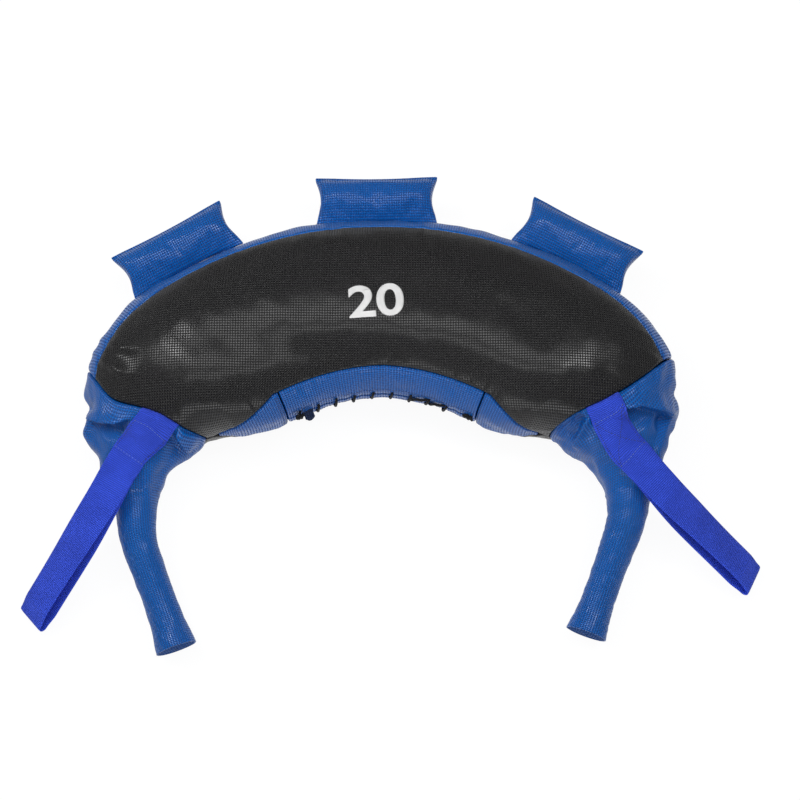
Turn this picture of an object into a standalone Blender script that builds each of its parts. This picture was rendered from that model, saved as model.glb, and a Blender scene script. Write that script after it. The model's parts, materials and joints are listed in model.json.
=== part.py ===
"""Crescent weight bag for strength training, lying on its back.

A stuffed crescent of coated fabric with a front and a back panel, gussets between them, a laced
filling slit in its hollow side, two tapered ends that turn into handles, three stuffed grips on
its outer side and a webbing loop over each end. Metres, +Z up, front panel up. The origin is on
the floor, under the middle of the bag.
"""

import math

import bmesh
import bpy
from mathutils import Vector

# Body: a crescent swept along a spine of two arcs, the same on both sides
THICKNESS = 0.152
OUTER_HALF_WIDTH = 0.105
INNER_HALF_WIDTH = 0.106
SPINE_RADIUS = 0.344
SPINE_TURN = math.radians(39.4)
END_RADIUS = 0.166
BODY_END_TURN = math.radians(57.3)
NECK_TURN = math.radians(94.4)
SECTION_POWER = 2.3
REST_SINK = 0.008
FABRIC = 0.0015
SEAM_GAP = 0.0014
TOUCH_GAP = 0.0003
SEAT_GAP = 0.0008
OUTER_SEAM_TURN = math.radians(36.8)
INNER_SEAM_TURN = math.radians(38.5)
GUSSET_TAPER_START = 0.166
GUSSET_TAPER_END = 0.279
GUSSET_TAPER_EASE = 0.3
GUSSET_TIP = 0.92
BODY_STATIONS = 29
SECTION_POINTS = 20
FILL_CLEARANCE = 0.0016

# Share along the body, then shares of outer width, inner width and thickness
BODY_PROFILE = (
    (0.00, 0.962, 0.953, 1.00),
    (0.59, 0.995, 1.000, 1.00),
    (0.75, 1.005, 0.925, 0.99),
    (0.88, 0.985, 0.775, 0.94),
    (1.00, 0.915, 0.615, 0.84),
)
BODY_END_RISE = 0.006
BODY_RISE_START = 0.6
REST_SINK_END = 0.55

# Body's end seams: degrees round the section from its outer side, then reach past the body's end
END_SEAM = {
    "left": (
        (0, 0.004),
        (37, 0.012),
        (65, 0.021),
        (100, 0.0145),
        (137, 0.0135),
        (162, 0.0065),
        (180, 0.000),
    ),
    "right": (
        (0, -0.003),
        (37, -0.002),
        (65, 0.0015),
        (90, 0.0025),
        (121, -0.004),
        (150, -0.0085),
        (180, -0.011),
    ),
}
END_DRAW_START = 0.6
END_SEAM_GAP = 0.0018

# Ends and handles
NECK_RADIUS = 0.0270
NECK_HEIGHT = 0.055
BALL_RADIUS = 0.0215
BALL_SKIN_GAP = 0.0008
BALL_CLEARANCE = 0.001
NECK_ROUND = 0.008
MOUTH_OVERHANG = 0.005
NECK_HOLLOW = 0.6
HANDLE_LENGTH = {"left": 0.172, "right": 0.156}
HANDLE_STRAIGHT = {"left": 0.030, "right": 0.008}
HANDLE_BEND_RADIUS = 0.115
HANDLE_BEND_TURN = math.radians(16)
HANDLE_START = 0.0020
HANDLE_ROOT = 0.0236
HANDLE_RADIUS = 0.0200
HANDLE_END_HEIGHT = 0.0245
HANDLE_PROFILE = (
    (0.00, 1.00),
    (0.10, 1.10),
    (0.35, 0.99),
    (0.65, 0.93),
    (0.85, 1.00),
    (1.00, 1.19),
)
BALL_RINGS = 10
CAP_THICKNESS = 0.003
CAP_DOME = 0.003
CAP_PROFILE = ((1.0, 1.0), (1 / 3, 0.75), (0.0, 0.35))

# Laced filling slit
SLIT_GAP = 0.0024
LIP_HALF_LENGTH = 0.158
LIP_THICKNESS = 0.0024
HOLE_EDGE = 0.0080
HOLE_RADIUS = 0.0026
PUNCH_LENGTH = 0.012
STITCHES = 10
STITCH_HALF_SPAN = 0.1365
STITCH_LEAN = 0.0020
CORD_RADIUS = 0.0015
CORD_DEPTH = 0.0042
CORD_ADVANCE = 1.2
CORD_ADVANCE_START = 0.1
CORD_TURN_POWERS = (0.5, 0.7)
KNOT = ((0.0080, 0.6), (0.0070, 1.7), (0.0054, 1.9), (0.0038, 1.3), (0.0024, 1.0))
POINTS_A_PASS = 12
FLAP_HALF_LENGTH = 0.150
FLAP_HALF_HEIGHT = 0.024
FLAP_DEPTH = 0.0076
FLAP_THICKNESS = 0.0010

# Filling
WADDING_EASE = 0.0014
POUCHES = 5
POUCH_GAP = 0.003
POUCH_SLIT_DEPTH = 0.0094
POUCH_EASE = 0.020
POUCH_END_ROUND = 0.0025

# Grips
GRIP_WIDTH = 0.134
GRIP_DEPTH = 0.054
GRIP_THICKNESS = 0.040
GRIP_EDGE = 0.0050
GRIP_BASE = 0.0060
GRIP_DROP = 0.004
GRIP_AXIS_GAP = 0.0022
GRIP_END_DRAW = 0.004
GRIP_EDGE_DRAW = 0.003
GRIP_FABRIC = 0.0012
GRIP_EASE = 0.0011
GRIP_BASE_START = 0.0015
GRIP_TONGUE = 0.0010
GRIP_CROWN = 0.8
GRIP_END_CROWN = 0.6
GRIP_FULLNESS = 4
GRIP_BASE_SHARE = 1 / 3
GRIP_TURNS = {"left": math.radians(-29.7), "centre": math.radians(-0.8), "right": math.radians(28.2)}

# Webbing straps
WEBBING_WIDTH = 0.040
WEBBING = 0.0014
STITCH_TURN = math.radians(81)
STITCH_OFFSET = 0.0065
ANCHOR_LAYERS = 2
ANCHOR_STEP = 0.006
ANCHOR_TURN_LENGTH = 0.060
ANCHOR_END_GAP = 0.006
ANCHOR_HEADING = {"left": math.radians(50), "right": math.radians(38)}
LOOP_HEADING = {"left": math.radians(33.4), "right": math.radians(47.4)}
LOOP_REACH = {"left": 0.198, "right": 0.182}
LOOP_START = 0.0035
LOOP_LIFT = 0.0036
LOOP_END_HEIGHT = 0.0175
LOOP_ARCH = {"left": 1.7, "right": 1.9}
LOOP_OPENING = 0.013
LOOP_ROLL = math.radians(27)
LOOP_ROOT_ROLL = math.radians(4.5)
LOOP_ROLL_SHARES = (0.25, 0.85)
LOOP_LAYER_GAP = 0.0004
LOOP_OPEN_SHARE = 0.6
LOOP_CLOSE_SHARE = 0.9
LOOP_CLOSING = 0.45
LOOP_STATIONS = 17
LOOP_STEP = 0.002
BEND_POINTS = 5

SIDES = {"left": -1, "right": 1}


def clear_scene():
    for thing in list(bpy.data.objects):
        bpy.data.objects.remove(thing, do_unlink=True)


def new_collection(name):
    group = bpy.data.collections.new(name)
    bpy.context.scene.collection.children.link(group)
    return group


def smooth(x):
    x = min(max(x, 0.0), 1.0)
    return x * x * (3.0 - 2.0 * x)


def mix(a, b, x):
    return a + (b - a) * x


def spread(start, end, count):
    return [mix(start, end, i / (count - 1)) for i in range(count)]


def full_turn(count):
    return [math.tau * j / count for j in range(count)]


def profile_value(rows, column, x):
    """Smooth value of one column of a profile, by Hermite pieces through its rows."""
    x = min(max(x, rows[0][0]), rows[-1][0])
    i = max(k for k in range(len(rows) - 1) if rows[k][0] <= x)

    def slope(k):
        low = max(k - 1, 0)
        high = min(k + 1, len(rows) - 1)
        return (rows[high][column] - rows[low][column]) / (rows[high][0] - rows[low][0])

    span = rows[i + 1][0] - rows[i][0]
    t = (x - rows[i][0]) / span
    a, b = rows[i][column], rows[i + 1][column]
    rise = (1 + 2 * t) * (1 - t) ** 2 * a + t * t * (3 - 2 * t) * b
    return rise + span * (t * (1 - t) ** 2 * slope(i) + t * t * (t - 1) * slope(i + 1))


SPINE_LENGTH = SPINE_RADIUS * SPINE_TURN
BODY_END = SPINE_LENGTH + END_RADIUS * (BODY_END_TURN - SPINE_TURN)
NECK_AT = SPINE_LENGTH + END_RADIUS * (NECK_TURN - SPINE_TURN)


def spine_arcs(side):
    """Lengths and radii of the centre line's arcs, from the middle of the bag to a handle's end."""
    return (
        (SPINE_LENGTH, SPINE_RADIUS),
        (NECK_AT - SPINE_LENGTH, END_RADIUS),
        (HANDLE_STRAIGHT[side], None),
        (HANDLE_BEND_RADIUS * HANDLE_BEND_TURN, HANDLE_BEND_RADIUS),
        (1.0, None),
    )


def spine(s):
    """Point on the centre line at signed length s from the middle, its tangent and its normal."""
    side = -1.0 if s < 0 else 1.0
    left = abs(s)
    x, y, turn = 0.0, 0.0, 0.0
    for length, radius in spine_arcs("left" if s < 0 else "right"):
        step = min(left, length)
        if radius is None:
            x += step * math.cos(turn)
            y -= step * math.sin(turn)
        else:
            after = turn + step / radius
            x += radius * (math.sin(after) - math.sin(turn))
            y += radius * (math.cos(after) - math.cos(turn))
            turn = after
        left -= step
        if left <= 0.0:
            break
    tangent = Vector((math.cos(turn), -side * math.sin(turn), 0.0))
    normal = Vector((side * math.sin(turn), math.cos(turn), 0.0))
    return Vector((side * x, y, 0.0)), tangent, normal


def section_sizes(s):
    """Outer and inner half width, half height, centre height and roundness of the section at s."""
    along = abs(s) / BODY_END
    body = [profile_value(BODY_PROFILE, column, along) for column in (1, 2, 3)]
    outer = OUTER_HALF_WIDTH * body[0]
    inner = INNER_HALF_WIDTH * body[1]
    half = THICKNESS / 2 * body[2]
    rise = BODY_END_RISE * smooth((along - BODY_RISE_START) / (1.0 - BODY_RISE_START))
    centre = half + rise
    x = (abs(s) - BODY_END) / (NECK_AT - NECK_ROUND - BODY_END)
    if x <= 0.0:
        return outer, inner, half, centre, SECTION_POWER
    x = min(x, 1.0)
    outer = mix(outer, NECK_RADIUS, x)
    inner = mix(inner, NECK_RADIUS, mix(x, smooth(x), NECK_HOLLOW))
    half = mix(half, NECK_RADIUS, x)
    centre = mix(centre, NECK_HEIGHT, x)
    return outer, inner, half, centre, mix(SECTION_POWER, 2.0, x)


def skin_point(s, theta, inset=0.0, inner_inset=None):
    """Point of the bag's skin: theta 0 is the outer side, a quarter turn up, a half turn inside."""
    outer, inner, half, centre, power = section_sizes(s)
    cos, sin = math.cos(theta), math.sin(theta)
    if cos < 0 and inner_inset is not None:
        width = inner - inner_inset
    else:
        width = (outer if cos >= 0 else inner) - inset
    across = math.copysign(abs(cos) ** (2 / power), cos) * width
    sink = REST_SINK * (1.0 - smooth((abs(s) / BODY_END - REST_SINK_END) / (1.0 - REST_SINK_END)))
    height = half - inset + (sink if sin < 0 else 0.0)
    up = math.copysign(abs(sin) ** (2 / power), sin) * height
    point, _, normal = spine(s)
    return point + normal * across + Vector((0.0, 0.0, max(centre + up, inset)))


def end_reach(s, theta):
    """How far past the body's end its end seam runs, on the side of s and at an angle."""
    turn = math.degrees(theta) % 360
    return profile_value(END_SEAM["left" if s < 0 else "right"], 1, min(turn, 360 - turn))


def drawn_length(s, theta):
    """Length along the spine, drawn out towards the body's ends so that a panel meets the end seam."""
    share = smooth((abs(s) / BODY_END - END_DRAW_START) / (1.0 - END_DRAW_START))
    return s + math.copysign(share, s) * end_reach(s, theta)


def seam_angle(s):
    """Where the inner seams run: the inner gusset narrows to a point before the body's end."""
    taper = (abs(s) - GUSSET_TAPER_START) / (GUSSET_TAPER_END - GUSSET_TAPER_START)
    taper = min(max(taper, 0.0), 1.0)
    return INNER_SEAM_TURN * (1.0 - mix(taper, smooth(taper), GUSSET_TAPER_EASE))


def mesh_object(name, verts, faces, group):
    mesh = bpy.data.meshes.new(name)
    mesh.from_pydata([tuple(v) for v in verts], [], faces)
    work = bmesh.new()
    work.from_mesh(mesh)
    bmesh.ops.remove_doubles(work, verts=work.verts, dist=1e-6)
    bmesh.ops.recalc_face_normals(work, faces=work.faces)
    work.to_mesh(mesh)
    work.free()
    mesh.shade_smooth()
    mesh.set_sharp_from_angle(angle=math.radians(45))
    thing = bpy.data.objects.new(name, mesh)
    group.objects.link(thing)
    return thing


def loft(name, rings, group, closed=True, caps=None):
    """Skin a row of sections; closed sections get flat ends unless told otherwise."""
    count = len(rings[0])
    verts = [point for ring in rings for point in ring]
    faces = []
    for i in range(len(rings) - 1):
        for j in range(count if closed else count - 1):
            a = i * count + j
            b = i * count + (j + 1) % count
            faces.append((a, b, b + count, a + count))
    if closed if caps is None else caps:
        faces.append(tuple(range(count)))
        faces.append(tuple(range((len(rings) - 1) * count, len(rings) * count)))
    return mesh_object(name, verts, faces, group)


def face_out(thing, inside):
    """Turn an open sheet's faces away from a point inside it."""
    work = bmesh.new()
    work.from_mesh(thing.data)
    work.faces.ensure_lookup_table()
    sign = sum((f.calc_center_median() - inside(f.calc_center_median())).dot(f.normal) for f in work.faces)
    if sign < 0:
        bmesh.ops.reverse_faces(work, faces=work.faces)
    work.to_mesh(thing.data)
    work.free()


def solidify(thing, thickness, offset=-1.0):
    wall = thing.modifiers.new("wall", "SOLIDIFY")
    wall.thickness = thickness
    wall.offset = offset
    wall.use_even_offset = True
    wall.use_quality_normals = True


def place_origin(thing, point):
    """Set the object's origin on a point, such as a joint's axis, and leave its shape in place."""
    for vertex in thing.data.vertices:
        vertex.co -= point
    thing.location = point


def cut_with(thing, cutter, cutters):
    """Subtract a cutter, which moves to the collection of cutters and stays out of renders."""
    for old in list(cutter.users_collection):
        old.objects.unlink(cutter)
    cutters.objects.link(cutter)
    cutter.hide_render = True
    cutter.display_type = "WIRE"
    cut = thing.modifiers.new(cutter.name, "BOOLEAN")
    cut.operation = "DIFFERENCE"
    cut.solver = "EXACT"
    cut.object = cutter


def apply_material(thing, material):
    thing.data.materials.clear()
    thing.data.materials.append(material)


def make_material(name, colour, roughness, sheen=0.0):
    material = bpy.data.materials.new(name)
    material.use_nodes = True
    shader = material.node_tree.nodes["Principled BSDF"]
    shader.inputs["Base Color"].default_value = (*colour, 1.0)
    shader.inputs["Roughness"].default_value = roughness
    shader.inputs["Metallic"].default_value = 0.0
    shader.inputs["Sheen Weight"].default_value = sheen
    return material


def on_spine(height=THICKNESS / 2):
    """Nearest point of the spine's plane curve to a point, for telling inside from outside."""

    def nearest(point):
        centre = Vector((0.0, -SPINE_RADIUS, 0.0))
        flat = Vector((point.x, point.y, 0.0)) - centre
        if abs(math.atan2(flat.x, flat.y)) <= SPINE_TURN:
            foot = centre + flat.normalized() * SPINE_RADIUS
        else:
            side = math.copysign(1.0, point.x)
            start, _, normal = spine(side * SPINE_LENGTH)
            middle = start - normal * END_RADIUS
            foot = middle + (Vector((point.x, point.y, 0.0)) - middle).normalized() * END_RADIUS
        return Vector((foot.x, foot.y, height))

    return nearest


def sheet(name, lengths, angles_at, group, thickness=FABRIC, inset=0.0):
    """A fabric panel on the skin, from a list of lengths and the angles to cover at each."""
    rings = [[skin_point(drawn_length(s, theta), theta, inset) for theta in angles_at(s)] for s in lengths]
    thing = loft(name, rings, group, closed=False)
    face_out(thing, on_spine())
    solidify(thing, thickness)
    return thing


def seam_shift():
    return SEAM_GAP / (OUTER_HALF_WIDTH + THICKNESS / 2)


def make_panels(group, black):
    shift = seam_shift()

    def front(s):
        return spread(OUTER_SEAM_TURN + shift, math.pi - seam_angle(s) - shift, 11)

    def back(s):
        return spread(math.pi + seam_angle(s) + shift, 2 * math.pi - OUTER_SEAM_TURN - shift, 12)

    for name, angles in (("front_panel", front), ("back_panel", back)):
        thing = sheet(name, spread(-BODY_END, BODY_END, BODY_STATIONS), angles, group)
        apply_material(thing, black)


def make_gussets(group, blue):
    shift = seam_shift()

    def outer(s):
        return spread(-OUTER_SEAM_TURN + shift, OUTER_SEAM_TURN - shift, 5)

    def inner(s):
        return spread(math.pi - seam_angle(s) + shift, math.pi + seam_angle(s) - shift, 5)

    thing = sheet("outer_gusset", spread(-BODY_END, BODY_END, BODY_STATIONS), outer, group)
    apply_material(thing, blue)
    start = LIP_HALF_LENGTH + SEAM_GAP
    end = mix(GUSSET_TAPER_START, GUSSET_TAPER_END, GUSSET_TIP)
    for side, sign in SIDES.items():
        lengths = [sign * s for s in spread(start, end, 9)]
        thing = sheet(f"{side}_inner_gusset", lengths, inner, group)
        apply_material(thing, blue)


def wall_angle(s, height):
    """Angle on the inner side at a height over the section's centre."""
    _, _, half, _, power = section_sizes(s)
    return math.pi - math.asin(min((abs(height) / half) ** (power / 2), 1.0)) * math.copysign(1, height)


def slit_frame(s, height, depth):
    """Point at a height over the slit and a depth inside the inner wall, along the wall's normal."""
    sink_height = height
    if height < 0:
        _, _, half, _, _ = section_sizes(s)
        sink_height = height * half / (half + REST_SINK)
    base = skin_point(s, wall_angle(s, sink_height))
    _, _, normal = spine(s)
    return base + normal * depth


def stitch_holes(sign):
    """Lengths along the slit of the holes in the front lip (1) or the back lip (-1).

    A stitch runs up from a back hole to the front hole beside it, which lies a little further on.
    """
    lengths = spread(-STITCH_HALF_SPAN, STITCH_HALF_SPAN, STITCHES)
    row = lengths[:-1] if sign > 0 else lengths[1:]
    return [s + sign * STITCH_LEAN for s in row]


def hole_height():
    return SLIT_GAP / 2 + HOLE_EDGE


def make_lips(group, cutters, blue):
    shift = seam_shift()
    for name, sign in (("front_inner_lip", 1), ("back_inner_lip", -1)):
        def angles(s, sign=sign):
            edge = wall_angle(s, SLIT_GAP / 2)
            hem = wall_angle(s, 2 * hole_height())
            top = math.pi - seam_angle(s) + shift
            rows = [edge, wall_angle(s, hole_height()), hem] + spread(hem, top, 4)[1:]
            return rows if sign > 0 else [2 * math.pi - row for row in rows]

        lip = sheet(name, spread(-LIP_HALF_LENGTH, LIP_HALF_LENGTH, 17), angles, group, LIP_THICKNESS)
        apply_material(lip, blue)
        for k, s in enumerate(stitch_holes(sign)):
            _, _, normal = spine(s)
            bpy.ops.mesh.primitive_cylinder_add(vertices=10, radius=HOLE_RADIUS, depth=PUNCH_LENGTH)
            punch = bpy.context.active_object
            punch.name = f"{name}_punch_{k + 1}"
            punch.rotation_euler = normal.to_track_quat("Z", "Y").to_euler()
            punch.location = slit_frame(s, sign * hole_height(), LIP_THICKNESS / 2)
            cut_with(lip, punch, cutters)


def cord_pass(start, end, sign):
    """Points from a front hole down behind the lips (1), or from a back hole up before them (-1)."""
    points = []
    for i in range(POINTS_A_PASS):
        turn = math.pi * i / POINTS_A_PASS
        cos, sin = sign * math.cos(turn), sign * math.sin(turn)
        height = hole_height() * math.copysign(abs(cos) ** CORD_TURN_POWERS[0], cos)
        depth = LIP_THICKNESS / 2 + CORD_DEPTH * math.copysign(abs(sin) ** CORD_TURN_POWERS[1], sin)
        onward = smooth(CORD_ADVANCE * i / POINTS_A_PASS - CORD_ADVANCE_START)
        points.append(slit_frame(mix(start, end, onward), height, depth))
    return points


def lace_points():
    """One cord: a knot, in at the first front hole, and on through every hole to the last back one.

    Each point comes with its share of the cord's radius, which swells in the two end knots.
    """
    top, middle = hole_height(), LIP_THICKNESS / 2
    front, back = stitch_holes(1), stitch_holes(-1)
    line = []
    for k, hole in enumerate(front):
        line += cord_pass(hole, back[k], 1)
        if k + 1 < len(front):
            line += cord_pass(back[k], front[k + 1], -1)
    line.append(slit_frame(back[-1], -top, middle))
    first = [(slit_frame(front[0], top, middle - out), share) for out, share in KNOT]
    last = [(slit_frame(back[-1], -top, middle - out), share) for out, share in reversed(KNOT)]
    return first + [(point, 1.0) for point in line] + last


def least_gap(points, radius, near):
    """Least clear distance of a cord to itself, leaving out points closer along it than near."""
    along = [0.0]
    for a, b in zip(points, points[1:]):
        along.append(along[-1] + (b - a).length)
    best = 1.0
    for i, a in enumerate(points):
        for j in range(i + 1, len(points)):
            if along[j] - along[i] > near:
                best = min(best, (points[j] - a).length)
    return best - 2 * radius, along[-1]


def tube(name, points, radius, group, resolution, radii=None):
    curve = bpy.data.curves.new(name, "CURVE")
    curve.dimensions = "3D"
    curve.bevel_depth = radius
    curve.bevel_resolution = resolution
    curve.use_fill_caps = True
    line = curve.splines.new("POLY")
    line.points.add(len(points) - 1)
    for i, point in enumerate(points):
        line.points[i].co = (*point, 1.0)
        line.points[i].radius = radii[i] if radii else 1.0
    thing = bpy.data.objects.new(name, curve)
    group.objects.link(thing)
    return thing


def make_lace(group, black_cord):
    points, shares = zip(*lace_points())
    lace = tube("lace", points, CORD_RADIUS, group, 1, shares)
    apply_material(lace, black_cord)
    gap, length = least_gap(points, CORD_RADIUS, 0.010)
    print(f"lace: length {length * 1000:.0f} mm, least gap to itself {gap * 1000:.2f} mm")


def make_flap(group, cloth):
    lengths = spread(-FLAP_HALF_LENGTH, FLAP_HALF_LENGTH, 17)
    heights = spread(FLAP_HALF_HEIGHT, -FLAP_HALF_HEIGHT, 7)
    rings = [[slit_frame(s, height, FLAP_DEPTH) for height in heights] for s in lengths]
    flap = loft("fill_flap", rings, group, closed=False)
    face_out(flap, on_spine())
    solidify(flap, FLAP_THICKNESS)
    apply_material(flap, cloth)


def make_pouches(group, cloth):
    inset = FABRIC + FILL_CLEARANCE
    reach = BODY_END - inset
    each = 2 * reach / POUCHES
    for k in range(POUCHES):
        start = -reach + k * each + POUCH_GAP / 2
        end = -reach + (k + 1) * each - POUCH_GAP / 2
        rings = []
        for s in spread(start, end, 7):
            open_side = 1.0 - smooth((abs(s) - LIP_HALF_LENGTH) / POUCH_EASE)
            around = inset + POUCH_END_ROUND * smooth((abs(s) - GUSSET_TAPER_START) / POUCH_EASE)
            inner = mix(around, POUCH_SLIT_DEPTH, open_side)
            rings.append([skin_point(s, turn, around, inner) for turn in full_turn(SECTION_POINTS)])
        pouch = loft(f"sand_pouch_{k + 1}", rings, group)
        apply_material(pouch, cloth)


def neck_centre(side):
    """The point that a handle bends about, in the mouth of its end sleeve."""
    centre, _, _ = spine(SIDES[side] * NECK_AT)
    return centre + Vector((0.0, 0.0, NECK_HEIGHT))


def make_ends(group, cutters, blue, foam):
    turns = full_turn(SECTION_POINTS)
    for side, sign in SIDES.items():
        starts = [BODY_END + end_reach(sign, theta) + END_SEAM_GAP for theta in turns]
        mouth = NECK_AT + MOUTH_OVERHANG
        rings = [
            [skin_point(sign * mix(start, mouth, share), theta) for start, theta in zip(starts, turns)]
            for share in spread(0.0, 1.0, 11)
        ]
        sleeve = loft(f"{side}_end_sleeve", rings, group, caps=False)
        face_out(sleeve, on_spine())
        solidify(sleeve, FABRIC)
        apply_material(sleeve, blue)

        inset = FABRIC + FILL_CLEARANCE + WADDING_EASE
        lengths = [sign * s for s in spread(BODY_END + inset, NECK_AT - NECK_ROUND, 9)]
        rings = [[skin_point(s, theta, inset) for theta in turns] for s in lengths]
        wadding = loft(f"{side}_wadding", rings, group)
        apply_material(wadding, foam)
        bpy.ops.mesh.primitive_uv_sphere_add(
            segments=20, ring_count=12, radius=BALL_RADIUS + BALL_CLEARANCE
        )
        socket = bpy.context.active_object
        socket.name = f"{side}_neck_socket"
        socket.location = neck_centre(side)
        cut_with(wadding, socket, cutters)


def handle_radius(side, along):
    """Outer radius of the handle's cover, which rounds its root where it sits in the sleeve."""
    bulb = BALL_RADIUS + BALL_SKIN_GAP + FABRIC
    root = math.sqrt(max(bulb**2 - along**2, 0.0))
    return max(root, HANDLE_RADIUS * profile_value(HANDLE_PROFILE, 1, along / HANDLE_LENGTH[side]))


def handle_ring(side, along, radius, count=14):
    """Ring round the handle's centre line, at a length from the neck's centre."""
    sign = SIDES[side]
    point, _, normal = spine(sign * (NECK_AT + along))
    if along < 0:
        neck, tangent, normal = spine(sign * NECK_AT)
        point = neck + tangent * sign * along
    share = smooth(along / HANDLE_LENGTH[side])
    height = mix(NECK_HEIGHT, HANDLE_END_HEIGHT, share)
    ring = []
    for j in range(count):
        turn = math.tau * j / count
        offset = normal * math.cos(turn) * radius + Vector((0.0, 0.0, math.sin(turn) * radius))
        ring.append(point + offset + Vector((0.0, 0.0, height)))
    return ring


def make_handles(group, blue, foam):
    gap = FABRIC + FILL_CLEARANCE
    for side in SIDES:
        length = HANDLE_LENGTH[side]
        stations = spread(HANDLE_START, HANDLE_ROOT, 6) + spread(HANDLE_ROOT, length, 11)[1:]
        rings = [handle_ring(side, d, handle_radius(side, d)) for d in stations]
        cover = loft(f"{side}_handle_cover", rings, group, caps=False)
        face_out(cover, lambda p, side=side: handle_middle(side, p))
        solidify(cover, FABRIC)
        apply_material(cover, blue)

        rod = HANDLE_RADIUS - gap
        leave = math.sqrt(BALL_RADIUS**2 - rod**2)
        ball = [-BALL_RADIUS * math.cos(math.pi * k / BALL_RINGS) for k in range(1, BALL_RINGS)]
        rings = [
            handle_ring(side, d, math.sqrt(BALL_RADIUS**2 - d * d)) for d in ball if d < leave - TOUCH_GAP
        ]
        core_end = length - CAP_THICKNESS - CAP_DOME - TOUCH_GAP
        rings.append(handle_ring(side, leave, rod))
        stations = spread(HANDLE_ROOT, core_end, 11)
        rings += [handle_ring(side, d, handle_radius(side, d) - gap) for d in stations]
        core = loft(f"{side}_handle_core", rings, group)
        apply_material(core, foam)

        low = length - CAP_THICKNESS - CAP_DOME
        rim = handle_radius(side, low) - gap
        rings = [handle_ring(side, low, rim)]
        rings += [handle_ring(side, length - CAP_DOME * fall, rim * share) for fall, share in CAP_PROFILE]
        cap = loft(f"{side}_handle_cap", rings, group)
        apply_material(cap, blue)
        for thing in (cover, core, cap):
            place_origin(thing, neck_centre(side))


def handle_middle(side, point):
    """Point of the handle's centre line beside a point."""
    best = None
    for d in spread(0.0, HANDLE_LENGTH[side], 30):
        place, _, _ = spine(SIDES[side] * (NECK_AT + d))
        share = smooth(d / HANDLE_LENGTH[side])
        place = place + Vector((0.0, 0.0, mix(NECK_HEIGHT, HANDLE_END_HEIGHT, share)))
        if best is None or (place - point).length < (best - point).length:
            best = place
    return best


def grip_frame(which):
    """Origin on the tilt axis, the direction along the grip and the direction out of the bag."""
    turn = GRIP_TURNS[which]
    s = SPINE_RADIUS * turn
    outer = section_sizes(s)[0]
    point, tangent, normal = spine(s)
    origin = point + normal * (outer + GRIP_AXIS_GAP) + Vector((0.0, 0.0, THICKNESS / 2 - GRIP_DROP))
    return origin, tangent, normal


def grip_rings(which, shrink=0.0, columns=9, rows=8):
    """Sections across a pillow: crowned in the middle, drawn in between its corners."""
    origin, tangent, normal = grip_frame(which)
    arc = SPINE_RADIUS + section_sizes(SPINE_RADIUS * GRIP_TURNS[which])[0]
    half_width = GRIP_WIDTH / 2 - shrink
    rings = []
    for u in spread(-1.0, 1.0, columns):
        depth = GRIP_DEPTH - shrink - GRIP_EDGE_DRAW * (1.0 - u * u)
        follow = arc - math.sqrt(arc * arc - (u * half_width) ** 2)
        profile = []
        for x in spread(0.0, 1.0, rows):
            crown = math.sin(math.pi * x) ** GRIP_CROWN * (1.0 - abs(u) ** GRIP_FULLNESS) ** GRIP_END_CROWN
            edge = mix(GRIP_BASE, GRIP_EDGE, smooth(x / GRIP_BASE_SHARE)) / 2
            lift = edge + (GRIP_THICKNESS / 2 - edge) * crown - shrink
            draw = 1.0 - GRIP_END_DRAW / half_width * math.sin(math.pi * x)
            out = mix(GRIP_BASE_START + shrink / 2, depth, x) - follow * (1.0 - x)
            profile.append((u * half_width * draw, out, lift))
        if shrink:
            across, _, lift = profile[0]
            profile.insert(0, (across, -GRIP_TONGUE - follow, lift))
        layers = [(across, out, lift) for across, out, lift in profile]
        layers += [(across, out, -lift) for across, out, lift in reversed(profile)]
        rings.append([
            origin + tangent * across + normal * out + Vector((0, 0, lift)) for across, out, lift in layers
        ])
    return rings


def make_grips(group, blue, foam):
    for which in GRIP_TURNS:
        origin, _, normal = grip_frame(which)
        middle = origin + normal * GRIP_DEPTH / 2
        rings = grip_rings(which)
        cover = loft(f"{which}_grip_cover", rings, group, closed=False, caps=True)
        face_out(cover, lambda p, middle=middle: middle)
        solidify(cover, GRIP_FABRIC)
        apply_material(cover, blue)
        core = loft(f"{which}_grip_core", grip_rings(which, GRIP_FABRIC + GRIP_EASE), group)
        apply_material(core, foam)
        for thing in (cover, core):
            place_origin(thing, origin)


def sleeve_top(x, y):
    """Height of the end sleeve's upper surface over a point of the floor."""
    side = math.copysign(1.0, x)
    start, _, normal = spine(side * SPINE_LENGTH)
    middle = start - normal * END_RADIUS
    flat = Vector((x, y, 0.0)) - middle
    turn = math.atan2(side * flat.x, flat.y)
    s = SPINE_LENGTH + END_RADIUS * (turn - SPINE_TURN)
    lateral = flat.length - END_RADIUS
    outer, inner, half, centre, power = section_sizes(s)
    share = min(abs(lateral) / (outer if lateral > 0 else inner), 1.0)
    return centre + half * (1.0 - share**power) ** (1 / power), s


def over_sleeve(x, y, lift):
    """Point at a distance over the sleeve's surface, along the surface's normal."""
    step = 0.002
    top = sleeve_top(x, y)[0]
    slope_x = (sleeve_top(x + step, y)[0] - sleeve_top(x - step, y)[0]) / (2 * step)
    slope_y = (sleeve_top(x, y + step)[0] - sleeve_top(x, y - step)[0]) / (2 * step)
    normal = Vector((-slope_x, -slope_y, 1.0)).normalized()
    return Vector((x, y, top)) + normal * lift


def strap_root(side):
    """Point of the stitched line's middle on the sleeve."""
    s = SPINE_LENGTH + END_RADIUS * (STITCH_TURN - SPINE_TURN)
    point, _, normal = spine(SIDES[side] * s)
    return point + normal * STITCH_OFFSET


def strap_hinge(side):
    """Point on the stitched line that the loop swings about, between its two layers."""
    root = strap_root(side)
    return root + Vector((0.0, 0.0, sleeve_top(root.x, root.y)[0] + LOOP_LIFT + WEBBING))


def heading(side, turn):
    return Vector((SIDES[side] * math.sin(turn), -math.cos(turn), 0.0))


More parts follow.
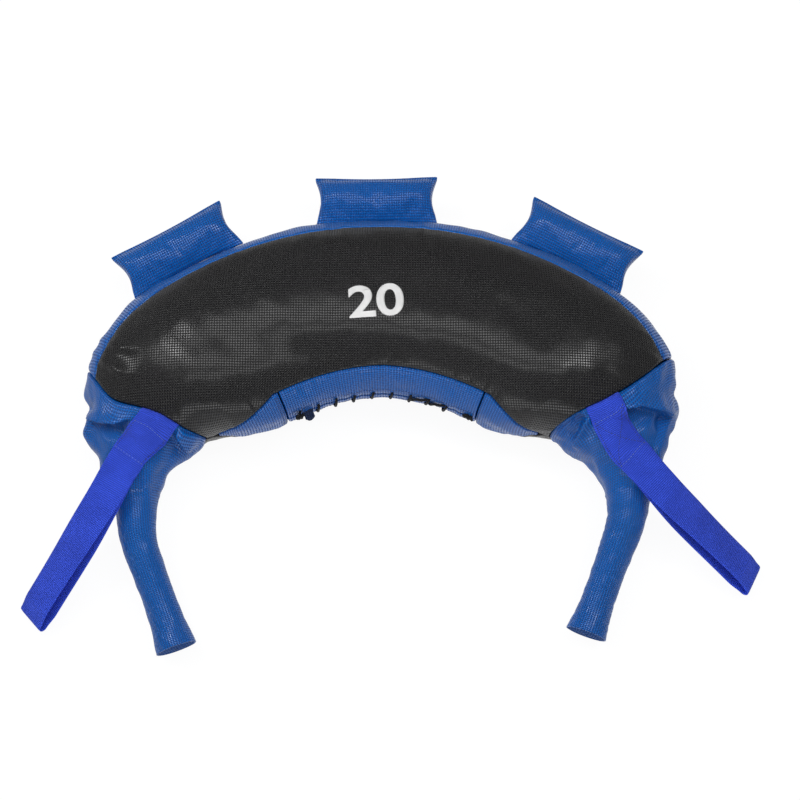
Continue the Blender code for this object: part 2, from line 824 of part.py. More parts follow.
def cross(side, turn):
    return Vector((math.cos(turn), SIDES[side] * math.sin(turn), 0.0))


def make_anchor(side, group, webbing):
    """Doubled webbing that lies on the sleeve, from the panel's end seam to the stitched line."""
    place = strap_root(side)
    turn = LOOP_HEADING[side]
    rows = []
    length = 0.0
    while sleeve_top(place.x, place.y)[1] > BODY_END + ANCHOR_END_GAP:
        rows.append((place, turn))
        length += ANCHOR_STEP
        turn = mix(LOOP_HEADING[side], ANCHOR_HEADING[side], min(length / ANCHOR_TURN_LENGTH, 1.0))
        place = place - heading(side, turn) * ANCHOR_STEP
    lift = ANCHOR_LAYERS * WEBBING + SEAT_GAP
    rings = []
    for place, turn in rows:
        ring = []
        for k in range(5):
            edge = place + cross(side, turn) * WEBBING_WIDTH * (k / 4 - 0.5)
            ring.append(over_sleeve(edge.x, edge.y, lift))
        rings.append(ring)
    anchor = loft(f"{side}_strap_anchor", rings, group, closed=False)
    face_out(anchor, lambda p: p - Vector((0, 0, 1)))
    solidify(anchor, ANCHOR_LAYERS * WEBBING)
    apply_material(anchor, webbing)


def loop_rows(side):
    """Centre points, cross directions and normals of the loop's band, out and back."""
    root = strap_hinge(side)
    turn = LOOP_HEADING[side]
    reach = LOOP_REACH[side]
    out = heading(side, turn)
    flat = cross(side, turn)

    def middle(d):
        fall = (d / reach) ** LOOP_ARCH[side]
        height = mix(root.z, LOOP_END_HEIGHT, min(fall, 1.0)) - root.z
        return root + out * d + Vector((0.0, 0.0, height))

    rows = []
    roll_start, roll_end = LOOP_ROLL_SHARES
    for share in spread(0.0, 1.0, LOOP_STATIONS):
        d = mix(LOOP_START, reach, share)
        roll = mix(LOOP_ROOT_ROLL, LOOP_ROLL, smooth((share - roll_start) / (roll_end - roll_start)))
        ahead = (middle(min(d + LOOP_STEP, reach)) - middle(d - LOOP_STEP)).normalized()
        # The edge toward the bag's middle is the higher one
        across = (flat * -SIDES[side] * math.cos(roll) + Vector((0, 0, math.sin(roll)))).normalized()
        normal = across.cross(ahead)
        if normal.z < 0:
            normal = -normal
        across = ahead.cross(normal).normalized()
        gap = WEBBING + LOOP_LAYER_GAP + LOOP_OPENING * smooth(share / LOOP_OPEN_SHARE)
        closing = smooth((share - LOOP_CLOSE_SHARE) / (1.0 - LOOP_CLOSE_SHARE))
        gap -= LOOP_OPENING * LOOP_CLOSING * closing
        rows.append((middle(d), across, normal, gap, ahead))
    return rows


def make_loop(side, group, webbing):
    rows = loop_rows(side)
    out = [(p + n * gap / 2, across) for p, across, n, gap, _ in rows]
    back = [(p - n * gap / 2, across) for p, across, n, gap, _ in reversed(rows)]
    p, across, n, gap, ahead = rows[-1]
    bend = []
    for k in range(1, BEND_POINTS + 1):
        turn = math.pi * k / (BEND_POINTS + 1)
        bend.append((p + (n * math.cos(turn) + ahead * math.sin(turn)) * gap / 2, across))
    half = WEBBING_WIDTH / 2
    rings = [[p - across * half, p + across * half] for p, across in out + bend + back]
    loop = loft(f"{side}_strap_loop", rings, group, closed=False)
    solidify(loop, WEBBING, 0.0)
    apply_material(loop, webbing)
    place_origin(loop, strap_hinge(side))


def main():
    clear_scene()
    group = new_collection("weight_bag")
    cutters = new_collection("cutters")
    black = make_material("black_vinyl", (0.016, 0.016, 0.017), 0.5)
    blue = make_material("blue_vinyl", (0.012, 0.085, 0.36), 0.42)
    webbing = make_material("blue_webbing", (0.03, 0.035, 0.55), 0.8, 0.2)
    cord = make_material("black_cord", (0.01, 0.01, 0.012), 0.8)
    cloth = make_material("pouch_cloth", (0.45, 0.42, 0.36), 0.9)
    foam = make_material("wadding", (0.75, 0.74, 0.7), 0.95)
    make_panels(group, black)
    make_gussets(group, blue)
    make_lips(group, cutters, blue)
    make_lace(group, cord)
    make_flap(group, blue)
    make_pouches(group, cloth)
    make_ends(group, cutters, blue, foam)
    make_handles(group, blue, foam)
    make_grips(group, blue, foam)
    for side in SIDES:
        make_anchor(side, group, webbing)
        make_loop(side, group, webbing)


main()
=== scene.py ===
import json
import math

import bmesh
import bpy
import numpy as np
from mathutils import Matrix, Vector
from mathutils.bvhtree import BVHTree


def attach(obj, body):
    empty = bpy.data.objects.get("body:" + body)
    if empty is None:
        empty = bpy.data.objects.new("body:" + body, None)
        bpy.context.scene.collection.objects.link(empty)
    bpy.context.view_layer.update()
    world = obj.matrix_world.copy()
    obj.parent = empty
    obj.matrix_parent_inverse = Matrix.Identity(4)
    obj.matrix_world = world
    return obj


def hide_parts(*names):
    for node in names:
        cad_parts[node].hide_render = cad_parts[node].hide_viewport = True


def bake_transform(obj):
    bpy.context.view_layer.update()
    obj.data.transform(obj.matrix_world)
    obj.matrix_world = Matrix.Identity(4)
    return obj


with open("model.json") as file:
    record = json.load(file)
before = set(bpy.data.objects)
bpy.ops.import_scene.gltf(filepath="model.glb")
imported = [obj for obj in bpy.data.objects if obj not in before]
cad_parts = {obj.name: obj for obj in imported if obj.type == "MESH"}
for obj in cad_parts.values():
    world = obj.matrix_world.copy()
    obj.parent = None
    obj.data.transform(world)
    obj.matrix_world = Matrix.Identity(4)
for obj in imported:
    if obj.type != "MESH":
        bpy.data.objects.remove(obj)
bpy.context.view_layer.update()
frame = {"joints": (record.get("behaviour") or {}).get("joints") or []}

# Sizes shared with the CAD source, in metres, apart from the handles' finer profile
THICKNESS = 0.152
OUTER_HALF_WIDTH = 0.105
INNER_HALF_WIDTH = 0.106
SPINE_RADIUS = 0.344
SPINE_TURN = math.radians(39.4)
END_RADIUS = 0.166
BODY_END_TURN = math.radians(57.3)
NECK_TURN = math.radians(94.4)
SECTION_POWER = 2.3
REST_SINK = 0.008
REST_SINK_END = 0.55
BODY_PROFILE = np.array((
    (0.00, 0.962, 0.953, 1.00),
    (0.59, 0.995, 1.000, 1.00),
    (0.75, 1.005, 0.925, 0.99),
    (0.88, 0.985, 0.775, 0.94),
    (1.00, 0.915, 0.615, 0.84),
))
BODY_END_RISE = 0.006
BODY_RISE_START = 0.6
NECK_RADIUS = 0.027
NECK_HEIGHT = 0.055
NECK_ROUND = 0.008
NECK_HOLLOW = 0.6
OUTER_SEAM_TURN = math.radians(36.8)
INNER_SEAM_TURN = math.radians(38.5)
GUSSET_TAPER_START = 0.166
GUSSET_TAPER_END = 0.279
GUSSET_TAPER_EASE = 0.3
GUSSET_TIP = 0.92
LIP_HALF_LENGTH = 0.158
SLIT_GAP = 0.0024
HANDLE_LENGTH = {"left": 0.172, "right": 0.156}
HANDLE_STRAIGHT = {"left": 0.030, "right": 0.008}
HANDLE_BEND_RADIUS = 0.115
HANDLE_BEND_TURN = math.radians(16)
HANDLE_RADIUS = 0.020
HANDLE_END_HEIGHT = 0.0245
HANDLE_PROFILE = np.array((
    (0.00, 1.27),
    (0.07, 1.17),
    (0.16, 1.09),
    (0.35, 0.99),
    (0.65, 0.93),
    (0.85, 1.00),
    (0.95, 1.13),
    (1.00, 1.17),
))
END_SEAM = {
    "left": np.array((
        (0, 0.004), (37, 0.012), (65, 0.021), (100, 0.0145), (137, 0.0135), (162, 0.0065), (180, 0.0),
    )),
    "right": np.array((
        (0, -0.003), (37, -0.002), (65, 0.0015), (90, 0.0025), (121, -0.004), (150, -0.0085), (180, -0.011),
    )),
}
END_DRAW_START = 0.6
HOLE_EDGE = 0.008
LIP_THICKNESS = 0.0024
STITCHES = 10
STITCH_HALF_SPAN = 0.1365
CORD_RADIUS = 0.0015
CORD_DEPTH = 0.0042
STITCH_LEAN = 0.0020
GRIP_WIDTH = 0.134
GRIP_DEPTH = 0.054
GRIP_DROP = 0.004
GRIP_AXIS_GAP = 0.0022
GRIP_TURNS = {"left": math.radians(-29.7), "centre": math.radians(-0.8), "right": math.radians(28.2)}
WEBBING_WIDTH = 0.040
WEBBING = 0.0014
STITCH_TURN = math.radians(81)
STITCH_OFFSET = 0.0065
LOOP_HEADING = {"left": math.radians(33.4), "right": math.radians(47.4)}
LOOP_OPENING = 0.013
LOOP_ROLL = math.radians(27)
LOOP_ROOT_ROLL = math.radians(4.5)
LOOP_LAYER_GAP = 0.0004
LOOP_CLOSING = 0.45
FLAP_HALF_LENGTH = 0.150
FLAP_HALF_HEIGHT = 0.024
FLAP_DEPTH = 0.0076
POUCHES = 5
SIDES = {"left": -1, "right": 1}

# Sizes of this script's own, also where the CAD source has another size under the same name
FABRIC = 0.0013
LINING = 0.0010
EMBOSS_PITCH = 0.0029
GROOVE_ROUGHNESS = 0.70
SEAM_ROLL = 0.0032
HEM_DEPTH = 0.0030
HEM_STITCH = 0.0165
SEW_PITCH = 0.0036
SEW_LENGTH = 0.0025
STITCH_LIFT = 0.00015
SEAM_THREAD = 0.00055
STRAP_THREAD = 0.00065
STRAP_STITCH_LIFT = 0.0002
SEEK_DEPTH = -0.002
SEAM_HALF_GAP = 0.0003
FLOOR_GAP = 0.0004
SLEEVE_FLOOR_GAP = 0.0006
LEAN_WIDTH = 5.0
ANCHOR_REACH = 0.080
ANCHOR_TUCK = 0.0012
ANCHOR_DIP = 0.0055
ANCHOR_EASE = 8
ANCHOR_SLOPE = 0.0040
ANCHOR_STEP = 0.0015
ANCHOR_HEADING = {"left": math.radians(45), "right": math.radians(24)}
ANCHOR_TURN_LENGTH = {"left": 0.014, "right": 0.060}
SLACK_STITCHES = (6, 7)
CORD_BESIDE = 0.0026
UNDER_LAYER_LIFT = 0.0005
TOP_LAYER_LIFT = 0.0011
LAYER_CUP = 0.0006
GRIP_BASE = 0.0026
GRIP_CROWN = 1.55
GRIP_MARGIN = 0.0035
GRIP_FRONT_MARGIN = 0.0045
GRIP_HEIGHT = 0.0180
GRIP_CORE_INSET = 0.0105
GRIP_CORE_HEIGHT = 0.0095
GRIP_HELD = 0.0085
GRIP_FRAMES = 24
GRIP_MOST_MOVE = 0.0034
POUCH_INSET = 0.0095
POUCH_HALF_GAP = 0.0030
POUCH_DOME = 0.020
POUCH_FLOOR_GAP = 0.0040
POUCH_END_GAP = 0.004
END_FILL_GAPS = (0.006, 0.024)
END_FILL_INSETS = (0.026, 0.012)
HANDLE_FILL_START = -0.0165
HANDLE_FILL_GAP = 0.0125
HANDLE_FILL_INSET = 0.0048
HANDLE_FILL_BALL = 0.018

# Share along the loop, then the pixel and height of its middle line
LOOP_MIDDLE = {
    "left": (
        (0.00, 127.5, 457.0, 0.103),
        (0.30, 101.5, 503.0, 0.088),
        (0.60, 73.5, 552.0, 0.057),
        (1.00, 34.0, 617.0, 0.0175),
    ),
    "right": (
        (0.00, 637.0, 455.0, 0.103),
        (0.30, 665.0, 491.0, 0.088),
        (0.60, 697.0, 526.0, 0.057),
        (1.00, 750.0, 579.0, 0.0175),
    ),
}

# White number on the panel
MARK_PIXEL = (376.0, 300.5)
MARK_HEIGHT = 0.0372
MARK_WIDTH = 0.0640
MARK_TILT = math.radians(4.3)
MARK_EDGE = 0.003
PANEL_HEIGHT = 0.15
MARK_LIFT = 0.00025
MARK_THICKNESS = 0.0004

MILLIMETRES = 1000.0
UP = np.array((0.0, 0.0, 1.0))
SPINE_LENGTH = SPINE_RADIUS * SPINE_TURN
BODY_END = SPINE_LENGTH + END_RADIUS * (BODY_END_TURN - SPINE_TURN)
NECK_AT = SPINE_LENGTH + END_RADIUS * (NECK_TURN - SPINE_TURN)

# Camera: the photograph's view, for an image of 800 by 800 pixels
CAMERA_ELEVATION = math.radians(76)
CAMERA_DISTANCE = 2.17
CAMERA_LENS = 85.0
CAMERA_SENSOR = 36.0
IMAGE_SIZE = 800
FOCAL_PIXELS = CAMERA_LENS / CAMERA_SENSOR * IMAGE_SIZE
PIXEL_SIZE = CAMERA_DISTANCE / FOCAL_PIXELS
AIM = np.array((0.0, 0.0, 0.075))
AIM_PIXEL = (382.0, 309.0)


def smooth(x):
    x = np.clip(x, 0.0, 1.0)
    return x * x * (3.0 - 2.0 * x)


def mix(a, b, x):
    return a + (b - a) * x


def unit(v):
    return v / np.maximum(np.linalg.norm(v, axis=-1, keepdims=True), 1e-12)


def run_lengths(points):
    """Length along lines of points up to each point, down the first axis."""
    step = np.linalg.norm(np.diff(points, axis=0), axis=-1)
    return np.concatenate((np.zeros((1,) + step.shape[1:]), np.cumsum(step, 0)))


def wrap_lengths(points):
    """Lengths down and round a grid of rings. Round it there is one more column, which closes it."""
    around = np.linalg.norm(np.roll(points, -1, 1) - points, axis=-1)
    return run_lengths(points), np.concatenate((np.zeros((len(points), 1)), np.cumsum(around, 1)), 1)


def profile_value(rows, column, x):
    """Smooth value of one column of a profile, by Hermite pieces through its rows."""
    at, values = rows[:, 0], rows[:, column]
    low = np.maximum(np.arange(len(at)) - 1, 0)
    high = np.minimum(np.arange(len(at)) + 1, len(at) - 1)
    slopes = (values[high] - values[low]) / (at[high] - at[low])
    x = np.clip(x, at[0], at[-1])
    i = np.clip(np.searchsorted(at, x, side="right") - 1, 0, len(at) - 2)
    span = at[i + 1] - at[i]
    t = (x - at[i]) / span
    rise = (1 + 2 * t) * (1 - t) ** 2 * values[i] + t * t * (3 - 2 * t) * values[i + 1]
    return rise + span * (t * (1 - t) ** 2 * slopes[i] + t * t * (t - 1) * slopes[i + 1])


def waves(x, length, seed, count=6):
    """Uneven ripples along x, about one unit high, of about one wavelength."""
    dice = np.random.default_rng(seed)
    total = np.zeros_like(np.asarray(x, float))
    for _ in range(count):
        each = length * math.exp(dice.uniform(-0.45, 0.45))
        total = total + np.sin(math.tau * x / each + dice.uniform(0, math.tau)) * dice.uniform(0.5, 1)
    return total / math.sqrt(count)


def swell(points, size, seed):
    """Soft uneven rise and fall over space, about one unit high."""
    count = 14
    dice = np.random.default_rng(seed)
    total = np.zeros(points.shape[:-1])
    for _ in range(count):
        way = unit(dice.normal(size=3)) / (size * math.exp(dice.uniform(-0.4, 0.4)))
        total += np.sin(math.tau * (points @ way) + dice.uniform(0, math.tau))
    return total / math.sqrt(count / 2) / 1.4


def spine(s):
    """Points on the centre line at signed lengths from the middle, with tangents and normals."""
    s = np.asarray(s, float)
    side = np.where(s < 0, -1.0, 1.0)
    left = np.abs(s)
    x, y, turn = np.zeros_like(left), np.zeros_like(left), np.zeros_like(left)
    straight = np.where(s < 0, HANDLE_STRAIGHT["left"], HANDLE_STRAIGHT["right"])
    arcs = (
        (SPINE_LENGTH, SPINE_RADIUS),
        (NECK_AT - SPINE_LENGTH, END_RADIUS),
        (straight, None),
        (HANDLE_BEND_RADIUS * HANDLE_BEND_TURN, HANDLE_BEND_RADIUS),
        (1.0, None),
    )
    for length, radius in arcs:
        step = np.minimum(left, length)
        if radius is None:
            x = x + step * np.cos(turn)
            y = y - step * np.sin(turn)
        else:
            after = turn + step / radius
            x = x + radius * (np.sin(after) - np.sin(turn))
            y = y + radius * (np.cos(after) - np.cos(turn))
            turn = after
        left = left - step
    flat = np.zeros_like(x)
    tangent = np.stack((np.cos(turn), -side * np.sin(turn), flat), -1)
    normal = np.stack((side * np.sin(turn), np.cos(turn), flat), -1)
    return np.stack((side * x, y, flat), -1), tangent, normal


def section_sizes(s):
    """Outer and inner half width, half height, centre height and roundness of the section at s."""
    along = np.abs(s) / BODY_END
    outer = OUTER_HALF_WIDTH * profile_value(BODY_PROFILE, 1, along)
    inner = INNER_HALF_WIDTH * profile_value(BODY_PROFILE, 2, along)
    half = THICKNESS / 2 * profile_value(BODY_PROFILE, 3, along)
    rise = BODY_END_RISE * smooth((along - BODY_RISE_START) / (1.0 - BODY_RISE_START))
    centre = half + rise
    x = np.clip((np.abs(s) - BODY_END) / (NECK_AT - NECK_ROUND - BODY_END), 0.0, 1.0)
    outer = mix(outer, NECK_RADIUS, x)
    inner = mix(inner, NECK_RADIUS, mix(x, smooth(x), NECK_HOLLOW))
    half = mix(half, NECK_RADIUS, x)
    centre = mix(centre, NECK_HEIGHT, x)
    return outer, inner, half, centre, mix(SECTION_POWER, 2.0, x)


def skin(s, theta, inset=0.0):
    """Points of the bag's skin: theta 0 is the outer side, a quarter turn up, a half turn inside."""
    s, theta = np.broadcast_arrays(np.asarray(s, float), np.asarray(theta, float))
    outer, inner, half, centre, power = section_sizes(s)
    cos, sin = np.cos(theta), np.sin(theta)
    width = np.where(cos >= 0, outer, inner) - inset
    across = np.sign(cos) * np.abs(cos) ** (2 / power) * width
    sink = REST_SINK * (1.0 - smooth((np.abs(s) / BODY_END - REST_SINK_END) / (1.0 - REST_SINK_END)))
    height = half - inset + np.where(sin < 0, sink, 0.0)
    up = np.sign(sin) * np.abs(sin) ** (2 / power) * height
    points, _, normal = spine(s)
    points = points + normal * across[..., None]
    points[..., 2] = np.maximum(centre + up, inset)
    return points


def seam_angle(s):
    taper = (np.abs(s) - GUSSET_TAPER_START) / (GUSSET_TAPER_END - GUSSET_TAPER_START)
    taper = np.clip(taper, 0.0, 1.0)
    return INNER_SEAM_TURN * (1.0 - mix(taper, smooth(taper), GUSSET_TAPER_EASE))


def front_inner_seam(s):
    return math.pi - seam_angle(s)


def back_inner_seam(s):
    return math.pi + seam_angle(s)


def slit_edge(way):
    """A lip's edge beside the slit, above it (1) or below it (-1)."""
    return lambda s: wall_angle(s, way * SLIT_GAP / 2 + 0 * s)


def seam_at(turn):
    """A seam at one angle from end to end."""
    return lambda s: np.full_like(s, turn)


def end_reach(side, theta):
    """How far past the body's end its end seam runs, at an angle."""
    turn = np.degrees(theta) % 360
    return profile_value(END_SEAM[side], 1, np.minimum(turn, 360 - turn))


def drawn_length(s, theta):
    """Lengths drawn out towards the body's ends so that a panel meets its end seam."""
    share = smooth((np.abs(s) / BODY_END - END_DRAW_START) / (1.0 - END_DRAW_START))
    reach = np.where(s < 0, end_reach("left", theta), end_reach("right", theta))
    return s + np.sign(s) * share * reach


def wall_angle(s, height):
    """Angle on the inner side at a height over the section's centre."""
    _, _, half, _, power = section_sizes(s)
    return math.pi - np.arcsin(np.minimum((np.abs(height) / half) ** (power / 2), 1.0)) * np.sign(height)


def slit_frame(s, height, depth):
    """Point at a height over the slit and a depth inside the inner wall, along the wall's normal."""
    s, height = np.broadcast_arrays(np.asarray(s, float), np.asarray(height, float))
    half = section_sizes(s)[2]
    seen = np.where(height < 0, height * half / (half + REST_SINK), height)
    seen = np.where(seen == 0, 1e-9, seen)
    return skin(s, wall_angle(s, seen)) + spine(s)[2] * np.asarray(depth)[..., None]


def inside_of(points):
    """Nearest points of the body's centre line, at half height, for telling outward."""
    centre = np.array((0.0, -SPINE_RADIUS, 0.0))
    flat = points * (1, 1, 0) - centre
    turn = np.arctan2(flat[..., 0], flat[..., 1])
    near = centre + unit(flat) * SPINE_RADIUS
    side = np.where(points[..., 0] < 0, -1.0, 1.0)
    start, _, normal = spine(side * SPINE_LENGTH)
    middle = start - normal * END_RADIUS
    far = middle + unit(points * (1, 1, 0) - middle) * END_RADIUS
    foot = np.where((np.abs(turn) <= SPINE_TURN)[..., None], near, far)
    foot[..., 2] = THICKNESS / 2
    return foot


def grid_normals(points, wrap=False):
    down = np.gradient(points, axis=0)
    if wrap:
        across = (np.roll(points, -1, 1) - np.roll(points, 1, 1)) / 2
    else:
        across = np.gradient(points, axis=1)
    return unit(np.cross(down, across))


def outward(points, inside, wrap=False):
    """Normals of a grid of points, turned to point away from the inside."""
    normals = grid_normals(points, wrap)
    return normals * (1.0 if np.sum(normals * (points - inside)) > 0 else -1.0)


def with_hems(points, normals, lift):
    """Points moved along their normals, with all four edges of the grid turned in as hems."""
    hem = np.zeros_like(lift)
    hem[[0, -1]] = HEM_DEPTH
    hem[:, [0, -1]] = HEM_DEPTH
    return points + normals * (lift - hem)[..., None]


def put_in_scene(name, data):
    thing = bpy.data.objects.new(name, data)
    bpy.context.scene.collection.objects.link(thing)
    return thing


def evaluated_mesh(thing):
    graph = bpy.context.evaluated_depsgraph_get()
    return bpy.data.meshes.new_from_object(thing.evaluated_get(graph))


def make_object(name, verts, quads, uv, ends=()):
    """Mesh object from arrays: corners of quads, the map for each corner, and end faces."""
    mesh = bpy.data.meshes.new(name)
    faces = [tuple(q) for q in quads.tolist()] + [tuple(int(i) for i in e) for e in ends]
    mesh.from_pydata(verts.tolist(), [], faces)
    layer = mesh.uv_layers.new(name="weave")
    flat = np.zeros((len(mesh.loops), 2), np.float32)
    flat[:uv.size // 2] = uv.reshape(-1, 2)
    layer.data.foreach_set("uv", flat.ravel())
    mesh.shade_smooth()
    thing = put_in_scene(name, mesh)
    turn_outward(thing)
    return thing


def turn_outward(thing):
    """Flip a closed mesh whose faces point inward."""
    mesh = thing.data
    mesh.calc_loop_triangles()
    tri = np.zeros(len(mesh.loop_triangles) * 3, int)
    mesh.loop_triangles.foreach_get("vertices", tri)
    co = np.zeros(len(mesh.vertices) * 3)
    mesh.vertices.foreach_get("co", co)
    a, b, c = (co.reshape(-1, 3)[tri.reshape(-1, 3)[:, k]] for k in range(3))
    if np.sum(a * np.cross(b, c)) < 0:
        mesh.flip_normals()


def corner_map(uv):
    """The map at the four corners of each quad of a grid."""
    return np.stack((uv[:-1, :-1], uv[:-1, 1:], uv[1:, 1:], uv[1:, :-1]), 2).reshape(-1, 4, 2)


def grid_quads(rows, columns, wrap):
    i = np.arange(rows - 1)[:, None]
    j = np.arange(columns if wrap else columns - 1)[None, :]
    a = i * columns + j
    b = i * columns + (j + 1) % columns
    return np.stack((a, b, b + columns, a + columns), -1).reshape(-1, 4)


def two_layers(rows, columns, wrap=False):
    """Faces of two grids of points, the second turned over, and of the walls that join their edges."""
    count = rows * columns
    quads = grid_quads(rows, columns, wrap)
    index = np.arange(count).reshape(rows, columns)
    if wrap:
        edges = [np.append(index[0], index[0, 0]), np.append(index[-1], index[-1, 0])[::-1]]
    else:
        edges = [np.concatenate((index[0], index[1:, -1], index[-1, -2::-1], index[-2::-1, 0]))]
    walls = [np.stack((e[1:], e[:-1], e[:-1] + count, e[1:] + count), -1) for e in edges]
    return np.concatenate([quads, quads[:, ::-1] + count] + walls), walls


def closed_rings(name, rings, uv, turned=False):
    """A body from rings of points with a flat face at each end. Its map has one column more."""
    rows, count = rings.shape[:2]
    first, last = np.arange(count), np.arange(count) + (rows - 1) * count
    ends = (first[::-1], last) if turned else (first, last[::-1])
    return make_object(name, rings.reshape(-1, 3), grid_quads(rows, count, True), corner_map(uv), ends)


def cloth_sheet(name, points, normals, thickness, uv, wrap=False):
    """A closed body from a grid of outer points: the cloth's two faces and its cut edges.

    A grid that wraps round has one more column in its map than in its points.
    """
    verts = np.concatenate((points.reshape(-1, 3), (points - normals * thickness).reshape(-1, 3)))
    faces, walls = two_layers(*points.shape[:2], wrap)
    corners = corner_map(uv)
    flat = uv[:, :points.shape[1]].reshape(-1, 2)
    rest = [flat[np.concatenate((w[:, :2], w[:, 1::-1]), 1)] for w in walls]
    return make_object(name, verts, faces, np.concatenate([corners, corners[:, ::-1]] + rest))


def even_angles(s, start, end, shares):
    """Angles from start to end at each station, at given shares of the arc length, and the arcs."""
    fine = np.linspace(0.0, 1.0, 400)[None, :]
    theta = start[:, None] + (end - start)[:, None] * fine
    points = skin(np.broadcast_to(s[:, None], theta.shape), theta)
    step = np.linalg.norm(np.diff(points, axis=1), axis=-1)
    arc = np.concatenate((np.zeros((len(s), 1)), np.cumsum(step, 1)), 1)
    angles, arcs = [], []
    for row in range(len(s)):
        want = shares * arc[row, -1]
        angles.append(np.interp(want, arc[row], theta[row]))
        arcs.append(want)
    return np.array(angles), np.array(arcs)


def edge_shares(count, close):
    """Shares from 0 to 1 that crowd at both ends, where the cloth rolls into its seams."""
    inner = np.linspace(0.0, 1.0, count)
    near = np.array((0.0, 0.18, 0.4, 0.7, 1.0)) * close
    middle = mix(close, 1.0 - close, inner)[1:-1]
    return np.concatenate((near, middle, 1.0 - near[::-1]))


def round_drop(away, radius):
    """How far a rounded edge has fallen at a distance from it."""
    left = np.clip(radius - away, 0.0, radius)
    return radius - np.sqrt(np.maximum(radius**2 - left**2, 0.0))


SEAM_SEEDS = {"front_outer": 11, "back_outer": 12, "front_inner": 13, "back_inner": 14, "end": 15, "slit": 16}


def pucker(seam, along, away):
    """Small gathers that run away from a seam, uneven along it."""
    seed = SEAM_SEEDS[seam]
    strength = 0.55 + 0.45 * waves(along, 0.11, seed + 50, 4)
    short = waves(along, 0.011, seed) * np.exp(-away / 0.009) * 0.00055
    long = waves(along, 0.026, seed + 20) * np.exp(-away / 0.022) * 0.00090
    return (short + long) * strength * smooth(away / 0.004)


def body_panel(start, end, columns, seams, wide=0.0008, lumps=0.0006):
    """One panel of the body's cloth between two seams, from end to end."""
    stations = np.linspace(-1.0, 1.0, 331)
    close = 0.006
    crowded = np.array((0.0, 0.2, 0.45, 0.75)) * close
    stations = np.concatenate((
        -1.0 + crowded, stations[(stations > -1.0 + close) & (stations < 1.0 - close)], 1.0 - crowded[::-1],
    ))
    base = stations * (BODY_END - SEAM_HALF_GAP)
    shares = edge_shares(columns, 0.024)
    angles, arcs = even_angles(base, start(base), end(base), shares)
    s = drawn_length(np.broadcast_to(base[:, None], angles.shape), angles)
    last = drawn_length(np.where(base[:, None] < 0, -BODY_END, BODY_END) + 0 * angles, angles)
    points = skin(s, angles)
    normals = outward(points, inside_of(points))
    to_first, to_last = arcs, arcs[:, -1:] - arcs
    to_end = np.abs(last - s) - SEAM_HALF_GAP
    edge = np.minimum(np.minimum(to_first, to_last), to_end)
    lift = -round_drop(edge, SEAM_ROLL)
    lift += pucker(seams[0], s, to_first) * smooth(to_end / 0.02)
    lift += pucker(seams[1], s, to_last) * smooth(to_end / 0.02)
    lift += pucker("end", arcs + 0.3 * stations[:, None], to_end)
    calm = smooth(edge / 0.03)
    lift += swell(points, 0.085, 3) * wide * calm
    lift += swell(points, 0.034, 4) * lumps * calm * 0.5
    lift += body_folds(points) * smooth(edge / 0.006)
    moved = with_hems(points, normals, lift)
    moved[..., 2] = np.maximum(moved[..., 2], FLOOR_GAP)
    return moved, outward(moved, inside_of(moved)), s, angles, arcs


def flat_cut(s, theta):
    """Map of a body panel laid flat, in units of the embossed squares."""
    fine = np.linspace(0.0, math.tau, 1201)
    out = np.zeros(s.shape + (2,))
    for row in range(s.shape[0]):
        ring = skin(np.full_like(fine, s[row].mean()), fine)
        arc = run_lengths(ring)
        top = np.interp(math.pi / 2 if theta[row].mean() < math.pi else 1.5 * math.pi, fine, arc)
        across = top - np.interp(theta[row], fine, arc)
        point, _, normal = spine(s[row])
        out[row] = (point + normal * across[:, None])[:, :2]
    return out / EMBOSS_PITCH


def camera_axes():
    """The camera's place and its ways right, up and ahead."""
    right = np.array((1.0, 0.0, 0.0))
    ahead = np.array((0.0, math.cos(CAMERA_ELEVATION), -math.sin(CAMERA_ELEVATION)))
    up = np.array((0.0, math.sin(CAMERA_ELEVATION), math.cos(CAMERA_ELEVATION)))
    half = IMAGE_SIZE / 2
    eye = AIM - ahead * CAMERA_DISTANCE
    eye = eye - right * (AIM_PIXEL[0] - half) * PIXEL_SIZE - up * (half - AIM_PIXEL[1]) * PIXEL_SIZE
    return eye, right, up, ahead


def to_pixels(points):
    eye, right, up, ahead = camera_axes()
    away = points - eye
    scale = FOCAL_PIXELS / (away @ ahead)
    half = IMAGE_SIZE / 2
    return np.stack((half + away @ right * scale, half - away @ up * scale), -1)


def from_pixels(px, py, z):
    """Point at a height that the photograph shows at a pixel."""
    eye, right, up, ahead = camera_axes()
    half = IMAGE_SIZE / 2
    way = ahead + right * (px - half) / FOCAL_PIXELS + up * (half - py) / FOCAL_PIXELS
    return eye + way * (z - eye[2]) / way[2]


def line_distance(pixels, line):
    """Signed distance to a line in pixels, positive to its left in the image, the share and the way."""
    line = np.asarray(line, float)
    lengths = np.linalg.norm(np.diff(line, axis=0), axis=1)
    start = np.concatenate(([0.0], np.cumsum(lengths)))
    best = np.full(pixels.shape[:-1], 1e9)
    signed, share = np.zeros_like(best), np.zeros_like(best)
    ways = np.zeros(pixels.shape)
    for k in range(len(line) - 1):
        way = (line[k + 1] - line[k]) / lengths[k]
        rel = pixels - line[k]
        along = np.clip(rel @ way, 0.0, lengths[k])
        off = rel - along[..., None] * way
        far = np.linalg.norm(off, axis=-1)
        side = np.sign(way[0] * rel[..., 1] - way[1] * rel[..., 0])
        closer = far < best
        best = np.where(closer, far, best)
        signed = np.where(closer, -side * far, signed)
        share = np.where(closer, (start[k] + along) / start[-1], share)
        ways[closer] = way
    return signed, share, ways


def fold_fade(share, ends):
    fade = smooth((1.0 - share) / max(ends[1], 1e-6))
    return fade if ends[0] == 0 else fade * smooth(share / ends[0])


